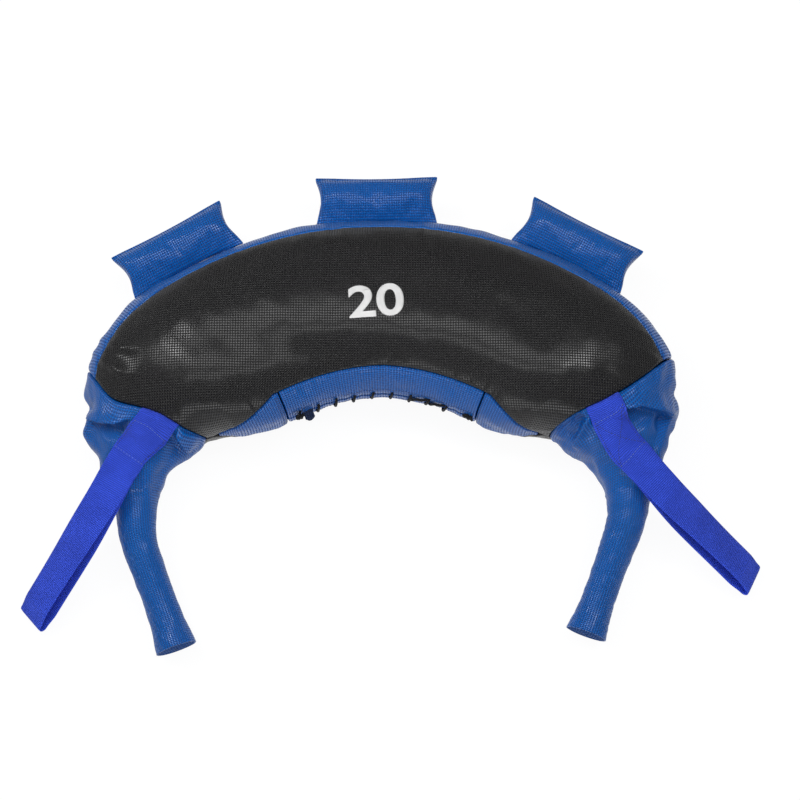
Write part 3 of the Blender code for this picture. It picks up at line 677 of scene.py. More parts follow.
def fold(pixels, line, rise, lit, dark, dip, dip_width, ends):
    """A ridge along a line: it falls gently on the line's left and steeply, into a dip, on its right."""
    off, share, _ = line_distance(pixels, line)
    fade = fold_fade(share, ends)
    gentle = rise * np.exp(-np.abs(off / lit) ** 1.6)
    right = np.maximum(-off, 0.0)
    steep = rise * np.exp(-(right / dark) ** 2) - dip * (right / dip_width) * np.exp(1 - right / dip_width)
    return np.where(off >= 0, gentle, steep) * fade


def overhang(pixels, line, reach, ends):
    """How far a ridge leans sideways over the dip on its right."""
    off, share, way = line_distance(pixels, line)
    width = np.where(off >= 0, 2 * LEAN_WIDTH, 0.45 * LEAN_WIDTH)
    lean = np.exp(-(off / width) ** 2) * (reach * fold_fade(share, ends))
    aside = np.stack((-way[..., 1], -way[..., 0], np.zeros_like(off)), -1)
    return aside * lean[..., None]


def dent(pixels, centre, size, depth, turn):
    """A soft hollow or swelling round a pixel, longer one way."""
    rel = pixels - np.asarray(centre, float)
    cos, sin = math.cos(math.radians(turn)), math.sin(math.radians(turn))
    u = rel[..., 0] * cos + rel[..., 1] * sin
    v = -rel[..., 0] * sin + rel[..., 1] * cos
    return depth * np.exp(-((u / size[0]) ** 2 + (v / size[1]) ** 2))


# Swellings and hollows of the body: pixel, size, height and turn
BODY_SWELLS = (
    ((465, 345), (85, 27), 0.0060, 10),
    ((330, 350), (45, 16), -0.0020, -8),
    ((560, 330), (70, 24), -0.0020, 30),
)
# Its ridges: line in pixels, rise, width of the lit and the dark side, dip and its width, fading ends
BODY_FOLDS = (
    (((92, 352), (118, 372), (150, 380)), 0.0016, 7, 5, 0.001, 6, (0, 0.6)),
    (((96, 338), (120, 348), (150, 350)), 0.0012, 6, 5, 0.001, 6, (0, 0.6)),
    (((384, 384), (390, 372), (398, 352)), 0.0010, 5, 5, 0.0, 6, (0, 0.7)),
    (((402, 384), (404, 372), (402, 350)), 0.0008, 4, 4, 0.0, 6, (0, 0.7)),
)


def body_folds(points):
    pixels = to_pixels(points)
    total = np.zeros(points.shape[:-1])
    for row in BODY_SWELLS:
        total += dent(pixels, *row)
    for row in BODY_FOLDS:
        total += fold(pixels, *row)
    return total * smooth((points[..., 2] - 0.05) / 0.04)


def make_panels():
    made = []
    for name, start, end, seams in (
        ("front_panel", seam_at(OUTER_SEAM_TURN), front_inner_seam, ("front_outer", "front_inner")),
        ("back_panel", back_inner_seam, seam_at(2 * math.pi - OUTER_SEAM_TURN),
         ("back_inner", "back_outer")),
    ):
        points, normals, s, theta, _ = body_panel(start, end, 84, seams)
        thing = cloth_sheet(f"{name}_cloth", points, normals, FABRIC, flat_cut(s, theta))
        finish_piece(thing, "bag", MATERIALS["black"], "black_vinyl", name)
        made.append(thing)
    return made


def make_outer_gusset():
    points, normals, s, _, arcs = body_panel(
        seam_at(-OUTER_SEAM_TURN), seam_at(OUTER_SEAM_TURN), 30, ("back_outer", "front_outer"),
        0.0012, 0.0010,
    )
    along = s * (SPINE_RADIUS + OUTER_HALF_WIDTH) / SPINE_RADIUS
    uv = np.stack((along, arcs), -1) / EMBOSS_PITCH
    thing = cloth_sheet("outer_gusset_cloth", points, normals, FABRIC, uv)
    finish_piece(thing, "bag", MATERIALS["blue"], "blue_vinyl", "outer_gusset")


def inner_strip(node, first, last, bottom, top, rows, columns, edges):
    """A length of the inner gusset between two lengths and two angles, rolled at its edges."""
    s = mix(first, last, edge_shares(rows, 0.035))
    shares = edge_shares(columns, 0.06)
    theta, arcs = even_angles(s, bottom(s), top(s), shares)
    grid = drawn_length(np.broadcast_to(s[:, None], theta.shape), theta)
    points = skin(grid, theta)
    normals = outward(points, inside_of(points))
    scale = (SPINE_RADIUS - INNER_HALF_WIDTH) / SPINE_RADIUS
    ends = np.minimum(np.abs(s - first), np.abs(s - last))[:, None] * scale
    to_first, to_last = arcs, arcs[:, -1:] - arcs
    edge = np.minimum(np.minimum(to_first, to_last), ends)
    lift = -round_drop(edge, SEAM_ROLL)
    lift += pucker(edges[0], grid, to_first) + pucker(edges[1], grid, to_last)
    lift += pucker("slit", arcs + first, ends) * 0.8
    lift += swell(points, 0.04, 9) * 0.0008 * smooth(edge / 0.012)
    moved = with_hems(points, normals, lift)
    uv = np.stack((grid * scale, arcs), -1) / EMBOSS_PITCH
    thing = cloth_sheet(f"{node}_cloth", moved, outward(moved, inside_of(moved)), FABRIC, uv)
    finish_piece(thing, "bag", MATERIALS["blue"], "blue_vinyl", node)
    return thing


def make_inner_gussets():
    start = LIP_HALF_LENGTH + SEAM_HALF_GAP
    end = mix(GUSSET_TAPER_START, GUSSET_TAPER_END, GUSSET_TIP)
    made = []
    for side, sign in SIDES.items():
        made.append(inner_strip(
            f"{side}_inner_gusset", sign * start, sign * end,
            front_inner_seam, back_inner_seam, 44, 26, ("front_inner", "back_inner"),
        ))
    reach = LIP_HALF_LENGTH - SEAM_HALF_GAP
    for node, bottom, top, edges in (
        ("front_inner_lip", front_inner_seam, slit_edge(1), ("front_inner", "slit")),
        ("back_inner_lip", slit_edge(-1), back_inner_seam, ("slit", "back_inner")),
    ):
        made.append(inner_strip(node, -reach, reach, bottom, top, 150, 18, edges))
    sew_gusset(surface_tree(*made))


def handle_centre(side, along):
    """Points of the handle's centre line at lengths from the neck."""
    sign = SIDES[side]
    along = np.asarray(along, float)
    point = spine(sign * (NECK_AT + np.maximum(along, 0.0)))[0]
    neck, tangent, _ = spine(sign * NECK_AT)
    back = neck + tangent * sign * np.minimum(along, 0.0)[..., None]
    point = np.where((along < 0)[..., None], back, point)
    height = mix(NECK_HEIGHT, HANDLE_END_HEIGHT, smooth(along / HANDLE_LENGTH[side]))
    return point + UP * height[..., None]


# Ridges: line in pixels, rise, width of the lit and the dark side, dip and its width, fading ends, lean
END_FOLDS = {
    "left": (
        (((86, 414), (100, 419), (116, 420), (134, 416)),
         0.0075, 9, 2.4, 0.0115, 9, (0.10, 0.42), 0.0042),
        (((175, 430), (184, 442), (194, 458)), 0.0080, 11, 2.4, 0.0110, 9, (0.2, 0.2), 0.0035),
        (((86, 436), (92, 448), (104, 464), (112, 480)), 0.0040, 6, 8, 0.0, 8, (0.2, 0.5), 0.0),
        (((124, 470), (130, 492), (140, 512)), 0.0016, 6, 6, 0.0008, 8, (0.3, 0.5), 0.0),
        (((150, 466), (146, 486), (152, 508)), 0.0012, 5, 6, 0.001, 7, (0.3, 0.5), 0.0),
        (((196, 446), (180, 456), (170, 470), (160, 488)), 0.0030, 7, 7, 0.0, 8, (0.3, 0.5), 0.0),
    ),
    "right": (
        (((606, 409), (617, 405), (640, 402), (660, 407), (677, 415)),
         0.0075, 9, 2.4, 0.0120, 9, (0.25, 0.08), 0.0042),
        (((590, 416), (582, 432), (573, 449)), 0.0075, 8, 2.4, 0.0100, 9, (0.2, 0.2), 0.0030),
        (((607, 448), (596, 462), (604, 484)), 0.0030, 7, 6, 0.0010, 8, (0.3, 0.5), 0.0),
        (((668, 436), (656, 452), (640, 470), (632, 496)), 0.0024, 6, 6, 0.0010, 8, (0.3, 0.5), 0.0),
    ),
}
# Swellings and hollows of the ends' outline: pixel, size, height and turn
END_SWELLS = {
    "left": (
        ((82, 432), (16, 9), 0.0055, 0),
        ((84, 408), (14, 7), -0.0040, 0),
        ((88, 462), (14, 14), -0.0040, 0),
        ((200, 452), (14, 10), 0.0030, 0),
        ((176, 482), (12, 12), -0.0030, 0),
    ),
    "right": (
        ((676, 394), (14, 7), -0.0040, 0),
        ((684, 442), (16, 18), -0.0045, 0),
        ((666, 462), (16, 14), -0.0030, 0),
        ((575, 455), (12, 8), 0.0030, 0),
    ),
}


def round_rings(centres, radii, normals, theta):
    """Circles round some centres, upright and square to the bag's centre line."""
    return [c + r * (np.cos(theta)[:, None] * n + np.sin(theta)[:, None] * UP)
            for c, r, n in zip(centres, radii, normals)]


def end_points(side):
    """The sleeve and its handle's cover as one skin, from the body's end seam to the handle's end."""
    sign = SIDES[side]
    columns, neck_rows, handle_rows = 224, 74, 78
    theta = np.arange(columns) * math.tau / columns
    length = HANDLE_LENGTH[side]
    near = np.array((0.0, 0.0006, 0.0014, 0.0023, 0.0032))
    start = BODY_END + end_reach(side, theta) + SEAM_HALF_GAP
    stop = NECK_AT - 0.004
    rows = [skin(sign * (start + step), theta) for step in near]
    for share in np.linspace(0.0, 1.0, neck_rows)[1:]:
        rows.append(skin(sign * mix(start + near[-1], stop, share), theta))
    along = np.linspace(0.0, length, handle_rows)
    radius = HANDLE_RADIUS * profile_value(HANDLE_PROFILE, 1, along / length)
    rows += round_rings(handle_centre(side, along), radius, spine(sign * (NECK_AT + along))[2], theta)
    points = np.array(rows)
    return points, points.mean(1, keepdims=True), theta, len(near) + neck_rows - 1


def end_relief(side, points, normals, theta, along, girth, at_handle):
    """How far the end's cloth lies off its plain skin, and how far its ridges lean sideways."""
    sign = SIDES[side]
    pixels = to_pixels(points)
    up = smooth(normals[..., 2] / 0.35)
    lift = -round_drop(along, SEAM_ROLL)
    lift += pucker("end", girth[:, :-1] + sign * 0.3, along) * 1.4
    aside = np.zeros_like(points)
    for *ridge, reach in END_FOLDS[side]:
        lift += fold(pixels, *ridge) * (up * smooth(along / 0.004))
        aside += overhang(pixels, ridge[0], reach, ridge[-1]) * (up * smooth(along / 0.012))[..., None]
    for row in END_SWELLS[side]:
        lift += dent(pixels, *row) * smooth(along / 0.008)
    lift += swell(points, 0.05, 21 + sign) * 0.0022 * smooth(along / 0.03) * (1 - at_handle)
    lift += swell(points, 0.022, 31 + sign) * mix(0.0007, 0.0003, at_handle) * smooth(along / 0.02)
    gathers = waves(theta[None, :] * 0.03 + along * 0.05, 0.03, 41 + sign)
    lift += gathers * 0.0011 * smooth((along - 0.02) / 0.05) * (1 - at_handle) * (1 - 0.6 * up)
    creases = waves(along + 0.004 * np.sin(theta * 2), 0.013, 51 + sign)
    lift += creases * 0.00022 * at_handle * (0.5 + 0.5 * np.sin(theta * 2 + 1.0 + sign))
    lift[0] -= HEM_DEPTH
    return lift, aside


def make_end(side):
    points, inside, theta, neck_row = end_points(side)
    normals = outward(points, inside, True)
    along, girth = wrap_lengths(points)
    at_handle = smooth((np.arange(len(points)) - neck_row + 14) / 24)[:, None]
    lift, aside = end_relief(side, points, normals, theta, along, girth, at_handle)
    moved = points + normals * lift[..., None]
    moved[..., 2] = np.maximum(moved[..., 2], SLEEVE_FLOOR_GAP)
    out = outward(moved, inside, True)
    moved += aside
    top = girth[:, len(theta) // 4][:, None]
    uv = np.stack((np.concatenate((along, along[:, :1]), 1), girth - top), -1) / EMBOSS_PITCH
    thing = cloth_sheet(f"{side}_end_cloth", moved, out, FABRIC, uv, True)
    thing.data.materials.append(MATERIALS["blue"])
    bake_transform(thing)
    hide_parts(f"{side}_end_sleeve", f"{side}_handle_cover")
    make_cap(side, moved[-1], centre=handle_centre(side, np.array([HANDLE_LENGTH[side]]))[0])
    return thing


# Handle's disc: share of the rim's radius and how far out, in rings from under the rim to the middle
DISC_PROFILE = (
    (0.945, -0.0092), (0.955, -0.0042), (0.94, -0.0016), (0.90, -0.0004), (0.80, -0.0008),
    (0.6, 0.0), (0.4, 0.0005), (0.2, 0.0008), (0.04, 0.0009),
)
DISC_RADIUS = 0.0225


def make_cap(side, rim, centre):
    """Closing disc of the handle: a flat face whose edge is drawn in under the cover's rim."""
    sign = SIDES[side]
    way = spine(sign * (NECK_AT + HANDLE_LENGTH[side]))[1] * sign
    points = np.array([centre + (rim - centre) * share + way * out for share, out in DISC_PROFILE])
    theta = np.arange(len(rim) + 1) * math.tau / len(rim)
    radius = np.array(DISC_PROFILE)[:, :1] * DISC_RADIUS
    uv = np.stack((radius * np.cos(theta), radius * np.sin(theta)), -1) / EMBOSS_PITCH
    thing = closed_rings(f"{side}_handle_disc", points, uv)
    # The disc's darkened blue is painted shade on the handle's end face
    finish_piece(thing, f"{side}_handle", MATERIALS["end"], "blue_vinyl", f"{side}_handle_cap")


def surface_tree(*things):
    """Search tree over the outer faces of some pieces."""
    verts, faces = [], []
    for thing in things:
        start = len(verts)
        verts += [tuple(v.co) for v in thing.data.vertices]
        faces += [tuple(start + i for i in p.vertices) for p in thing.data.polygons]
    return BVHTree.FromPolygons(verts, faces)


def height_over(tree, x, y, fallback):
    """Height of some pieces at a place seen from above, or the fallback beside them."""
    hit = tree.ray_cast(Vector((x, y, 0.4)), Vector((0.0, 0.0, -1.0)))
    return hit[0].z if hit[0] is not None else fallback


def heading(side, turn):
    """Way along a strap, turned outward from straight towards the viewer."""
    return np.array((SIDES[side] * math.sin(turn), -math.cos(turn), 0.0))


def cross(side, turn):
    return np.array((math.cos(turn), SIDES[side] * math.sin(turn), 0.0))


def hinge_point(side):
    """Middle of the line that the strap's loop swings about."""
    s = SPINE_LENGTH + END_RADIUS * (STITCH_TURN - SPINE_TURN)
    point, _, normal = spine(SIDES[side] * s)
    root = point + normal * STITCH_OFFSET
    joint = next(j for j in frame["joints"] if j["name"] == f"{side}_strap_swing")
    return np.array((root[0], root[1], joint["pos_m"][2]))


def past_seam(side, points):
    """How far points of the sleeve lie past its end seam, seen from above."""
    sign = SIDES[side]
    start, _, normal = spine(sign * SPINE_LENGTH)
    rel = (points - (start - normal * END_RADIUS))[..., :2]
    turn = np.arctan2(sign * rel[..., 0], rel[..., 1])
    s = SPINE_LENGTH + END_RADIUS * (turn - SPINE_TURN)
    across = np.linalg.norm(rel, axis=-1) - END_RADIUS
    outer, inner, _, _, power = section_sizes(s)
    share = np.clip(np.abs(across) / np.where(across >= 0, outer, inner), 0.0, 1.0)
    return s - BODY_END - end_reach(side, np.arccos(np.sign(across) * share ** (power / 2)))


def anchor_path(side, shares):
    """Rows across the stitched length as seen from above, and how far each is from the hinge."""
    turn = LOOP_HEADING[side]
    place = hinge_point(side) * (1, 1, 0)
    rows, lengths = [], [0.0]
    while lengths[-1] < ANCHOR_REACH:
        rows.append(place + cross(side, turn) * shares[:, None] * WEBBING_WIDTH)
        share = min(lengths[-1] / ANCHOR_TURN_LENGTH[side], 1.0)
        turn = mix(LOOP_HEADING[side], ANCHOR_HEADING[side], share)
        place = place - heading(side, turn) * ANCHOR_STEP
        lengths.append(lengths[-1] + ANCHOR_STEP)
    return np.array(rows), np.array(lengths[:-1])


def anchor_rows(side, tree, columns):
    """Grid over the sleeve for the stitched length, from the hinge back into the end seam."""
    path, lengths = anchor_path(side, np.linspace(-0.5, 0.5, columns))
    past = past_seam(side, path)
    count = 40
    grid = np.zeros((count, columns, 3))
    groove = np.zeros((count, columns))
    for j in range(columns):
        first = int(np.argmax(past[:, j] < 0.0))
        seam = float(np.interp(0.0, past[[first, first - 1], j], lengths[[first, first - 1]]))
        want = np.linspace(0.0, 1.0, count) * (seam + ANCHOR_TUCK)
        for k in range(2):
            grid[:, j, k] = np.interp(want, lengths, path[:, j, k])
        groove[:, j] = smooth((want - seam + ANCHOR_SLOPE) / (ANCHOR_SLOPE + ANCHOR_TUCK))
        for i in range(count):
            near = min(want[i], seam - ANCHOR_SLOPE)
            x, y = (float(np.interp(near, lengths, path[:, j, k])) for k in range(2))
            grid[i, j, 2] = height_over(tree, x, y, 0.09)
    held = grid[..., 2].copy()
    for _ in range(ANCHOR_EASE):
        held = np.maximum(held, smoothed(held))
    grid[..., 2] = held - ANCHOR_DIP * groove
    return grid


def smoothed(values):
    padded = np.pad(values, 1, mode="edge")
    return (padded[:-2, 1:-1] + padded[2:, 1:-1] + padded[1:-1, :-2] + padded[1:-1, 2:]) / 4


def loop_rows(side):
    """Middle line, ways along and across, normals and opening of the loop, from the photograph."""
    share = np.linspace(0.0, 1.0, 90)
    rows = np.array(LOOP_MIDDLE[side])
    line = zip(*(profile_value(rows, column, share) for column in (1, 2, 3)))
    middle = np.array([from_pixels(px, py, height) for px, py, height in line])
    middle += (hinge_point(side) - middle[0]) * (1.0 - smooth(share / 0.3))[:, None]
    ahead = unit(np.gradient(middle, axis=0))
    roll = mix(LOOP_ROOT_ROLL, LOOP_ROLL, smooth((share - 0.1) / 0.75))
    across = unit(np.cross(ahead, UP)) * SIDES[side]
    across = across * np.cos(roll)[:, None] + UP * np.sin(roll)[:, None]
    normal = np.cross(across, ahead)
    normal *= np.sign(normal[:, 2:3])
    across = unit(np.cross(ahead, normal)) * SIDES[side]
    normal = unit(np.cross(across, ahead))
    normal *= np.sign(normal[:, 2:3])
    gap = WEBBING + LOOP_LAYER_GAP + LOOP_OPENING * smooth(share / 0.55) ** 1.2
    gap -= LOOP_OPENING * LOOP_CLOSING * smooth((share - 0.92) / 0.08)
    return middle, ahead, across, normal, gap


def loop_layers(side, shares, way):
    """The loop's two layers and the bend at its end, as grids whose rows run a given way."""
    middle, ahead, across, normal, gap = loop_rows(side)
    flip = 1.0 if np.dot(across[0], way) > 0 else -1.0
    spread = middle[:, None, :] + across[:, None, :] * (shares[:, None] * flip * WEBBING_WIDTH)
    cup = (1.0 - (2 * shares) ** 2) * LAYER_CUP
    out = spread + normal[:, None, :] * (gap[:, None, None] / 2 + cup[None, :, None])
    back = spread - normal[:, None, :] * (gap[:, None, None] / 2 - cup[None, :, None])
    bend = np.array([
        spread[-1] + (normal[-1] * math.cos(turn) + ahead[-1] * math.sin(turn) * 1.1) * gap[-1] / 2
        for turn in np.linspace(0, math.pi, 15)[1:-1]
    ])
    return out, bend, back


def webbing_rings(path, shares, row):
    """The webbing round a grid of its rows, thin at both edges; its first face looks up at a row."""
    face = grid_normals(path)
    if face[row, len(shares) // 2, 2] < 0:
        face = -face
    edge = np.sqrt(np.clip(1.0 - np.abs(2 * shares) ** 12, 0.15, 1.0))
    half = face * (WEBBING / 2) * edge[None, :, None]
    return np.concatenate((path + half, (path - half)[:, ::-1]), 1)


def make_strap(side, tree):
    """One length of webbing: along the sleeve, out, round the loop's end, back and under itself."""
    columns = 13
    grid = anchor_rows(side, tree, columns)
    shares = np.linspace(-0.5, 0.5, columns)
    away = grid_normals(grid)
    away *= np.sign(away[..., 2:3])
    top = grid + away * (WEBBING * 1.5 + TOP_LAYER_LIFT)
    under = grid + away * (WEBBING * 0.5 + UNDER_LAYER_LIFT)
    out, bend, back = loop_layers(side, shares, grid[0, -1] - grid[0, 0])
    reach = 14
    ease = smooth(np.linspace(0, 1, reach))[:, None, None]
    for layer, sewn in ((out, top), (back, under)):
        layer[:reach] = mix(sewn[0] + (layer[:reach] - layer[0]), layer[:reach], ease)
    path = np.concatenate((top[::-1], out[1:], bend, back[::-1][:-1], under))
    rings = webbing_rings(path, shares, len(top) // 2)
    along = run_lengths(path[:, columns // 2])
    around = np.concatenate((shares, shares[::-1], shares[:1])) * WEBBING_WIDTH
    uv = np.stack(np.broadcast_arrays(along[:, None], around[None, :]), -1) * MILLIMETRES
    thing = closed_rings(f"{side}_strap_webbing", rings, uv, turned=True)
    thing.data.materials.append(MATERIALS["webbing"])
    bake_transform(thing)
    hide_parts(f"{side}_strap_anchor", f"{side}_strap_loop")
    print(f"{side} strap: {along[-1] * MILLIMETRES:.0f} mm of webbing")
    sew_strap(side, top + away * (WEBBING / 2 + STRAP_STITCH_LIFT))


def grid_line(face, start, end):
    """Points along a straight line between two places, given in rows and columns, of a grid."""
    share = np.linspace(0.0, 1.0, 60)
    r, c = mix(start[0], end[0], share), mix(start[1], end[1], share)
    i = np.minimum(r.astype(int), face.shape[0] - 2)
    j = np.minimum(c.astype(int), face.shape[1] - 2)
    u, v = (r - i)[:, None], (c - j)[:, None]
    return mix(mix(face[i, j], face[i + 1, j], u), mix(face[i, j + 1], face[i + 1, j + 1], u), v)


def sew_strap(side, face):
    """Stitches that hold the strap down: along its edges and across it, and a cross on the right one."""
    near, far = 3, 27 if side == "left" else 30
    left, right = 0.9, face.shape[1] - 1.9
    across = [grid_line(face, (row, left), (row, right)) for row in (near, far)]
    edges = [grid_line(face, (near, column), (far, column)) for column in (left, right)]
    if side == "right":
        edges += [grid_line(face, (near, left), (far, right)), grid_line(face, (near, right), (far, left))]
    for name, rows in (("pale", across), ("dark", edges)):
        made = stitch_rows(f"{side}_strap_{name}_stitches", rows, MATERIALS[f"{name}_thread"], STRAP_THREAD)
        finish_piece(made, "bag", None, "blue_webbing")


def on_cloth(tree, points):
    """Nearest places of some cloth to some points, lifted a little off it."""
    placed = []
    for point in points:
        spot, normal, _, _ = tree.find_nearest(Vector(point))
        placed.append(np.array(spot) + np.array(normal) * STITCH_LIFT)
    return np.array(placed)


def sew_gusset(tree):
    """Stitches beside the inner gusset's cross seams and along the hems of its two lips."""
    rows = []
    for sign, offsets in ((-1, (0.0034, 0.0062, 0.0090)), (1, (0.0034,))):
        for offset in offsets:
            s = sign * (LIP_HALF_LENGTH + offset)
            reach = float(seam_angle(np.array(s))) - 0.07
            theta = np.linspace(math.pi - reach, math.pi + reach, 60)
            rows.append(on_cloth(tree, skin(np.full_like(theta, s), theta, SEEK_DEPTH)))
    s = np.linspace(-0.153, 0.153, 260)
    for height in (HEM_STITCH, -HEM_STITCH):
        rows.append(on_cloth(tree, slit_frame(s, np.full_like(s, height), SEEK_DEPTH)))
    thing = stitch_rows("inner_gusset_stitches", rows, MATERIALS["dark_thread"], SEAM_THREAD)
    finish_piece(thing, "bag", None, "blue_vinyl")


def grip_frame(which):
    """Origin of a grip's frame, its ways along the seam and out, and the seam's radius."""
    s = np.array(SPINE_RADIUS * GRIP_TURNS[which])
    outer = float(section_sizes(s)[0])
    point, tangent, normal = spine(s)
    origin = point + normal * (outer + GRIP_AXIS_GAP)
    return origin + UP * (THICKNESS / 2 - GRIP_DROP), tangent, normal, SPINE_RADIUS + outer


def from_grip_frame(which, points):
    origin, tangent, normal, _ = grip_frame(which)
    return origin + points[:, :1] * tangent + points[:, 1:2] * normal + points[:, 2:] * UP


def flat_grip(which, shrink=0.0):
    """Flat pillow before it is filled: two layers joined round their edges, in the grip's frame."""
    columns, rows = 61, 27
    u = np.linspace(-1.0, 1.0, columns)[:, None]
    v = np.linspace(0.0, 1.0, rows)[None, :]
    half = GRIP_WIDTH / 2 + GRIP_MARGIN - shrink
    depth = GRIP_DEPTH + GRIP_FRONT_MARGIN - shrink
    arc = grip_frame(which)[3]
    follow = (arc - np.sqrt(arc * arc - (u * half) ** 2)) * (1.0 - v)
    x = u * half + 0 * v
    y = GRIP_BASE + shrink + v * (depth - GRIP_BASE - shrink) - follow
    edge = np.minimum(1.0 - np.abs(u), np.minimum(1.0 - v, v * 2 + 0.35)) * 8
    z = 0.0012 + 0.0040 * smooth(edge)
    return np.stack((x, y, z), -1), np.stack((x, y, -z), -1)


GRIP_CLOTH = {
    "quality": 8, "mass": 0.12, "tension_stiffness": 25, "compression_stiffness": 12,
    "shear_stiffness": 8, "bending_stiffness": 0.6, "shrink_min": -0.012,
    "use_pressure": True, "uniform_pressure_force": 4.0, "vertex_group_mass": "held",
}


def settle_grip(thing):
    """Let the filled pillow press out its cloth, with its base edge held and the move kept small."""
    start = np.array([v.co for v in thing.data.vertices])
    held = thing.vertex_groups.new(name="held")
    base = start[:, 1].min() + GRIP_HELD
    for i, point in enumerate(start):
        if point[1] < base:
            held.add([i], 1.0, "REPLACE")
    cloth = thing.modifiers.new("settle", "CLOTH")
    for key, value in GRIP_CLOTH.items():
        setattr(cloth.settings, key, value)
    cloth.settings.effector_weights.gravity = 0.0
    cloth.collision_settings.use_collision = False
    scene = bpy.context.scene
    for number in range(1, GRIP_FRAMES + 1):
        scene.frame_set(number)
    graph = bpy.context.evaluated_depsgraph_get()
    done = thing.evaluated_get(graph)
    moved = np.array([v.co for v in done.data.vertices])
    thing.modifiers.clear()
    thing.vertex_groups.clear()
    scene.frame_set(1)
    shift = moved - start
    size = np.linalg.norm(shift, axis=1, keepdims=True)
    return start + shift * np.minimum(1.0, GRIP_MOST_MOVE / np.maximum(size, 1e-9))


def filled_grip(start):
    """The pillow as its filling shapes it, with the cloth drawn in at its ends and outer edge."""
    half = GRIP_WIDTH / 2 + GRIP_MARGIN
    u = start[:, 0] / half
    v = np.clip(start[:, 1] / GRIP_DEPTH, 0.0, 1.0)
    crown = np.sin(math.pi * v**GRIP_CROWN) ** 0.55 * (1.0 - np.abs(u) ** 5) ** 0.6
    out = start.copy()
    out[:, 2] = np.sign(start[:, 2]) * (0.0014 + GRIP_HEIGHT * crown)
    out[:, 0] *= 1.0 - 0.055 * np.sin(math.pi * v)
    out[:, 1] -= 0.0035 * np.sin(math.pi * (u + 1) / 2) * v
    return out


def make_grip(which, seed):
    upper, lower = flat_grip(which)
    dice = np.random.default_rng(seed)
    upper = upper + dice.normal(size=upper.shape[:2])[..., None] * (0, 0, 0.0002)
    verts = filled_grip(np.concatenate((upper.reshape(-1, 3), lower.reshape(-1, 3))))
    faces, _ = two_layers(*upper.shape[:2])
    flat = (upper[..., :2] / EMBOSS_PITCH).reshape(-1, 2)
    flat = np.concatenate((flat, flat + (0.5, 0.3)))
    thing = make_object(f"{which}_grip_pillow", verts, faces, flat[faces])
    placed = from_grip_frame(which, settle_grip(thing))
    thing.data.vertices.foreach_set("co", placed.astype(np.float32).ravel())
    fine = thing.modifiers.new("fine", "SUBSURF")
    fine.levels = fine.render_levels = 1
    bake(thing)
    turn_outward(thing)
    finish_piece(thing, f"{which}_grip", MATERIALS["blue"], "blue_vinyl", f"{which}_grip_cover")
    make_grip_core(which)


def make_grip_core(which):
    upper, _ = flat_grip(which, GRIP_CORE_INSET)
    u = upper[..., 0] / abs(upper[0, 0, 0])
    v = np.linspace(0.0, 1.0, upper.shape[1])[None, :] + 0 * u
    crown = np.sin(math.pi * v**GRIP_CROWN) ** 0.7 * np.clip(1.0 - np.abs(u) ** 3.5, 0, 1) ** 0.6
    upper[..., 2] = 0.0008 + GRIP_CORE_HEIGHT * crown + 0.0008 * swell(upper, 0.02, 70)
    verts = np.concatenate((upper.reshape(-1, 3), (upper * (1, 1, -1)).reshape(-1, 3)))
    faces, _ = two_layers(*upper.shape[:2])
    uv = verts[faces][..., :2] * MILLIMETRES
    thing = make_object(f"{which}_grip_fibre", from_grip_frame(which, verts), faces, uv)
    finish_piece(thing, f"{which}_grip", MATERIALS["wadding"], "wadding", f"{which}_grip_core")


def bake(thing):
    """Apply a piece's modifiers to its mesh."""
    made, old = evaluated_mesh(thing), thing.data
    thing.modifiers.clear()
    thing.data = made
    made.name = thing.name
    bpy.data.meshes.remove(old)
    made.shade_smooth()


def lumpy(points, size, seed, height):
    """Rings of points with an uneven rise and fall of their surface."""
    out = unit(points - points.mean(1, keepdims=True))
    return points + out * (swell(points, size, seed) * height)[..., None]


def filled_form(name, points, body, material, slot, *nodes, fill):
    """A closed stuffed form from rings of points."""
    along, girth = wrap_lengths(points)
    uv = np.stack((np.concatenate((along, along[:, :1]), 1), girth), -1) * MILLIMETRES
    thing = closed_rings(name, points, uv)
    finish_piece(thing, body, material, slot, *nodes)


def make_pouches():
    reach = BODY_END - POUCH_END_GAP
    each = 2 * reach / POUCHES
    theta = np.arange(72) * math.tau / 72
    for k in range(POUCHES):
        first = -reach + k * each + POUCH_HALF_GAP
        last = -reach + (k + 1) * each - POUCH_HALF_GAP
        share = np.linspace(0, 1, 41)
        s = mix(first, last, 0.5 - 0.5 * np.cos(math.pi * share))
        away = np.minimum(s - first, last - s)
        rings = []
        for at, shut in zip(s, round_drop(away, POUCH_DOME)):
            ring = skin(np.full_like(theta, at), theta, POUCH_INSET)
            middle = ring.mean(0)
            radius = np.linalg.norm(ring - middle, axis=-1, keepdims=True)
            rings.append(middle + (ring - middle) * np.maximum(1.0 - shut / radius, 0.02))
        points = np.array(rings)
        out = unit(points - points.mean(1, keepdims=True))
        tucks = waves(theta * 0.05, 0.02, 90 + k) * 0.0012
        tucks = tucks[None, :] * np.exp(-away / 0.02)[:, None]
        points = lumpy(points, 0.03, 80 + k, 0.0014) + out * tucks[..., None]
        points[..., 2] = np.maximum(points[..., 2], POUCH_FLOOR_GAP)
        filled_form(f"sand_pouch_cloth_{k + 1}", points, "bag", MATERIALS["pouch"], "sand_pouch",
                    f"sand_pouch_{k + 1}", fill=0.9)


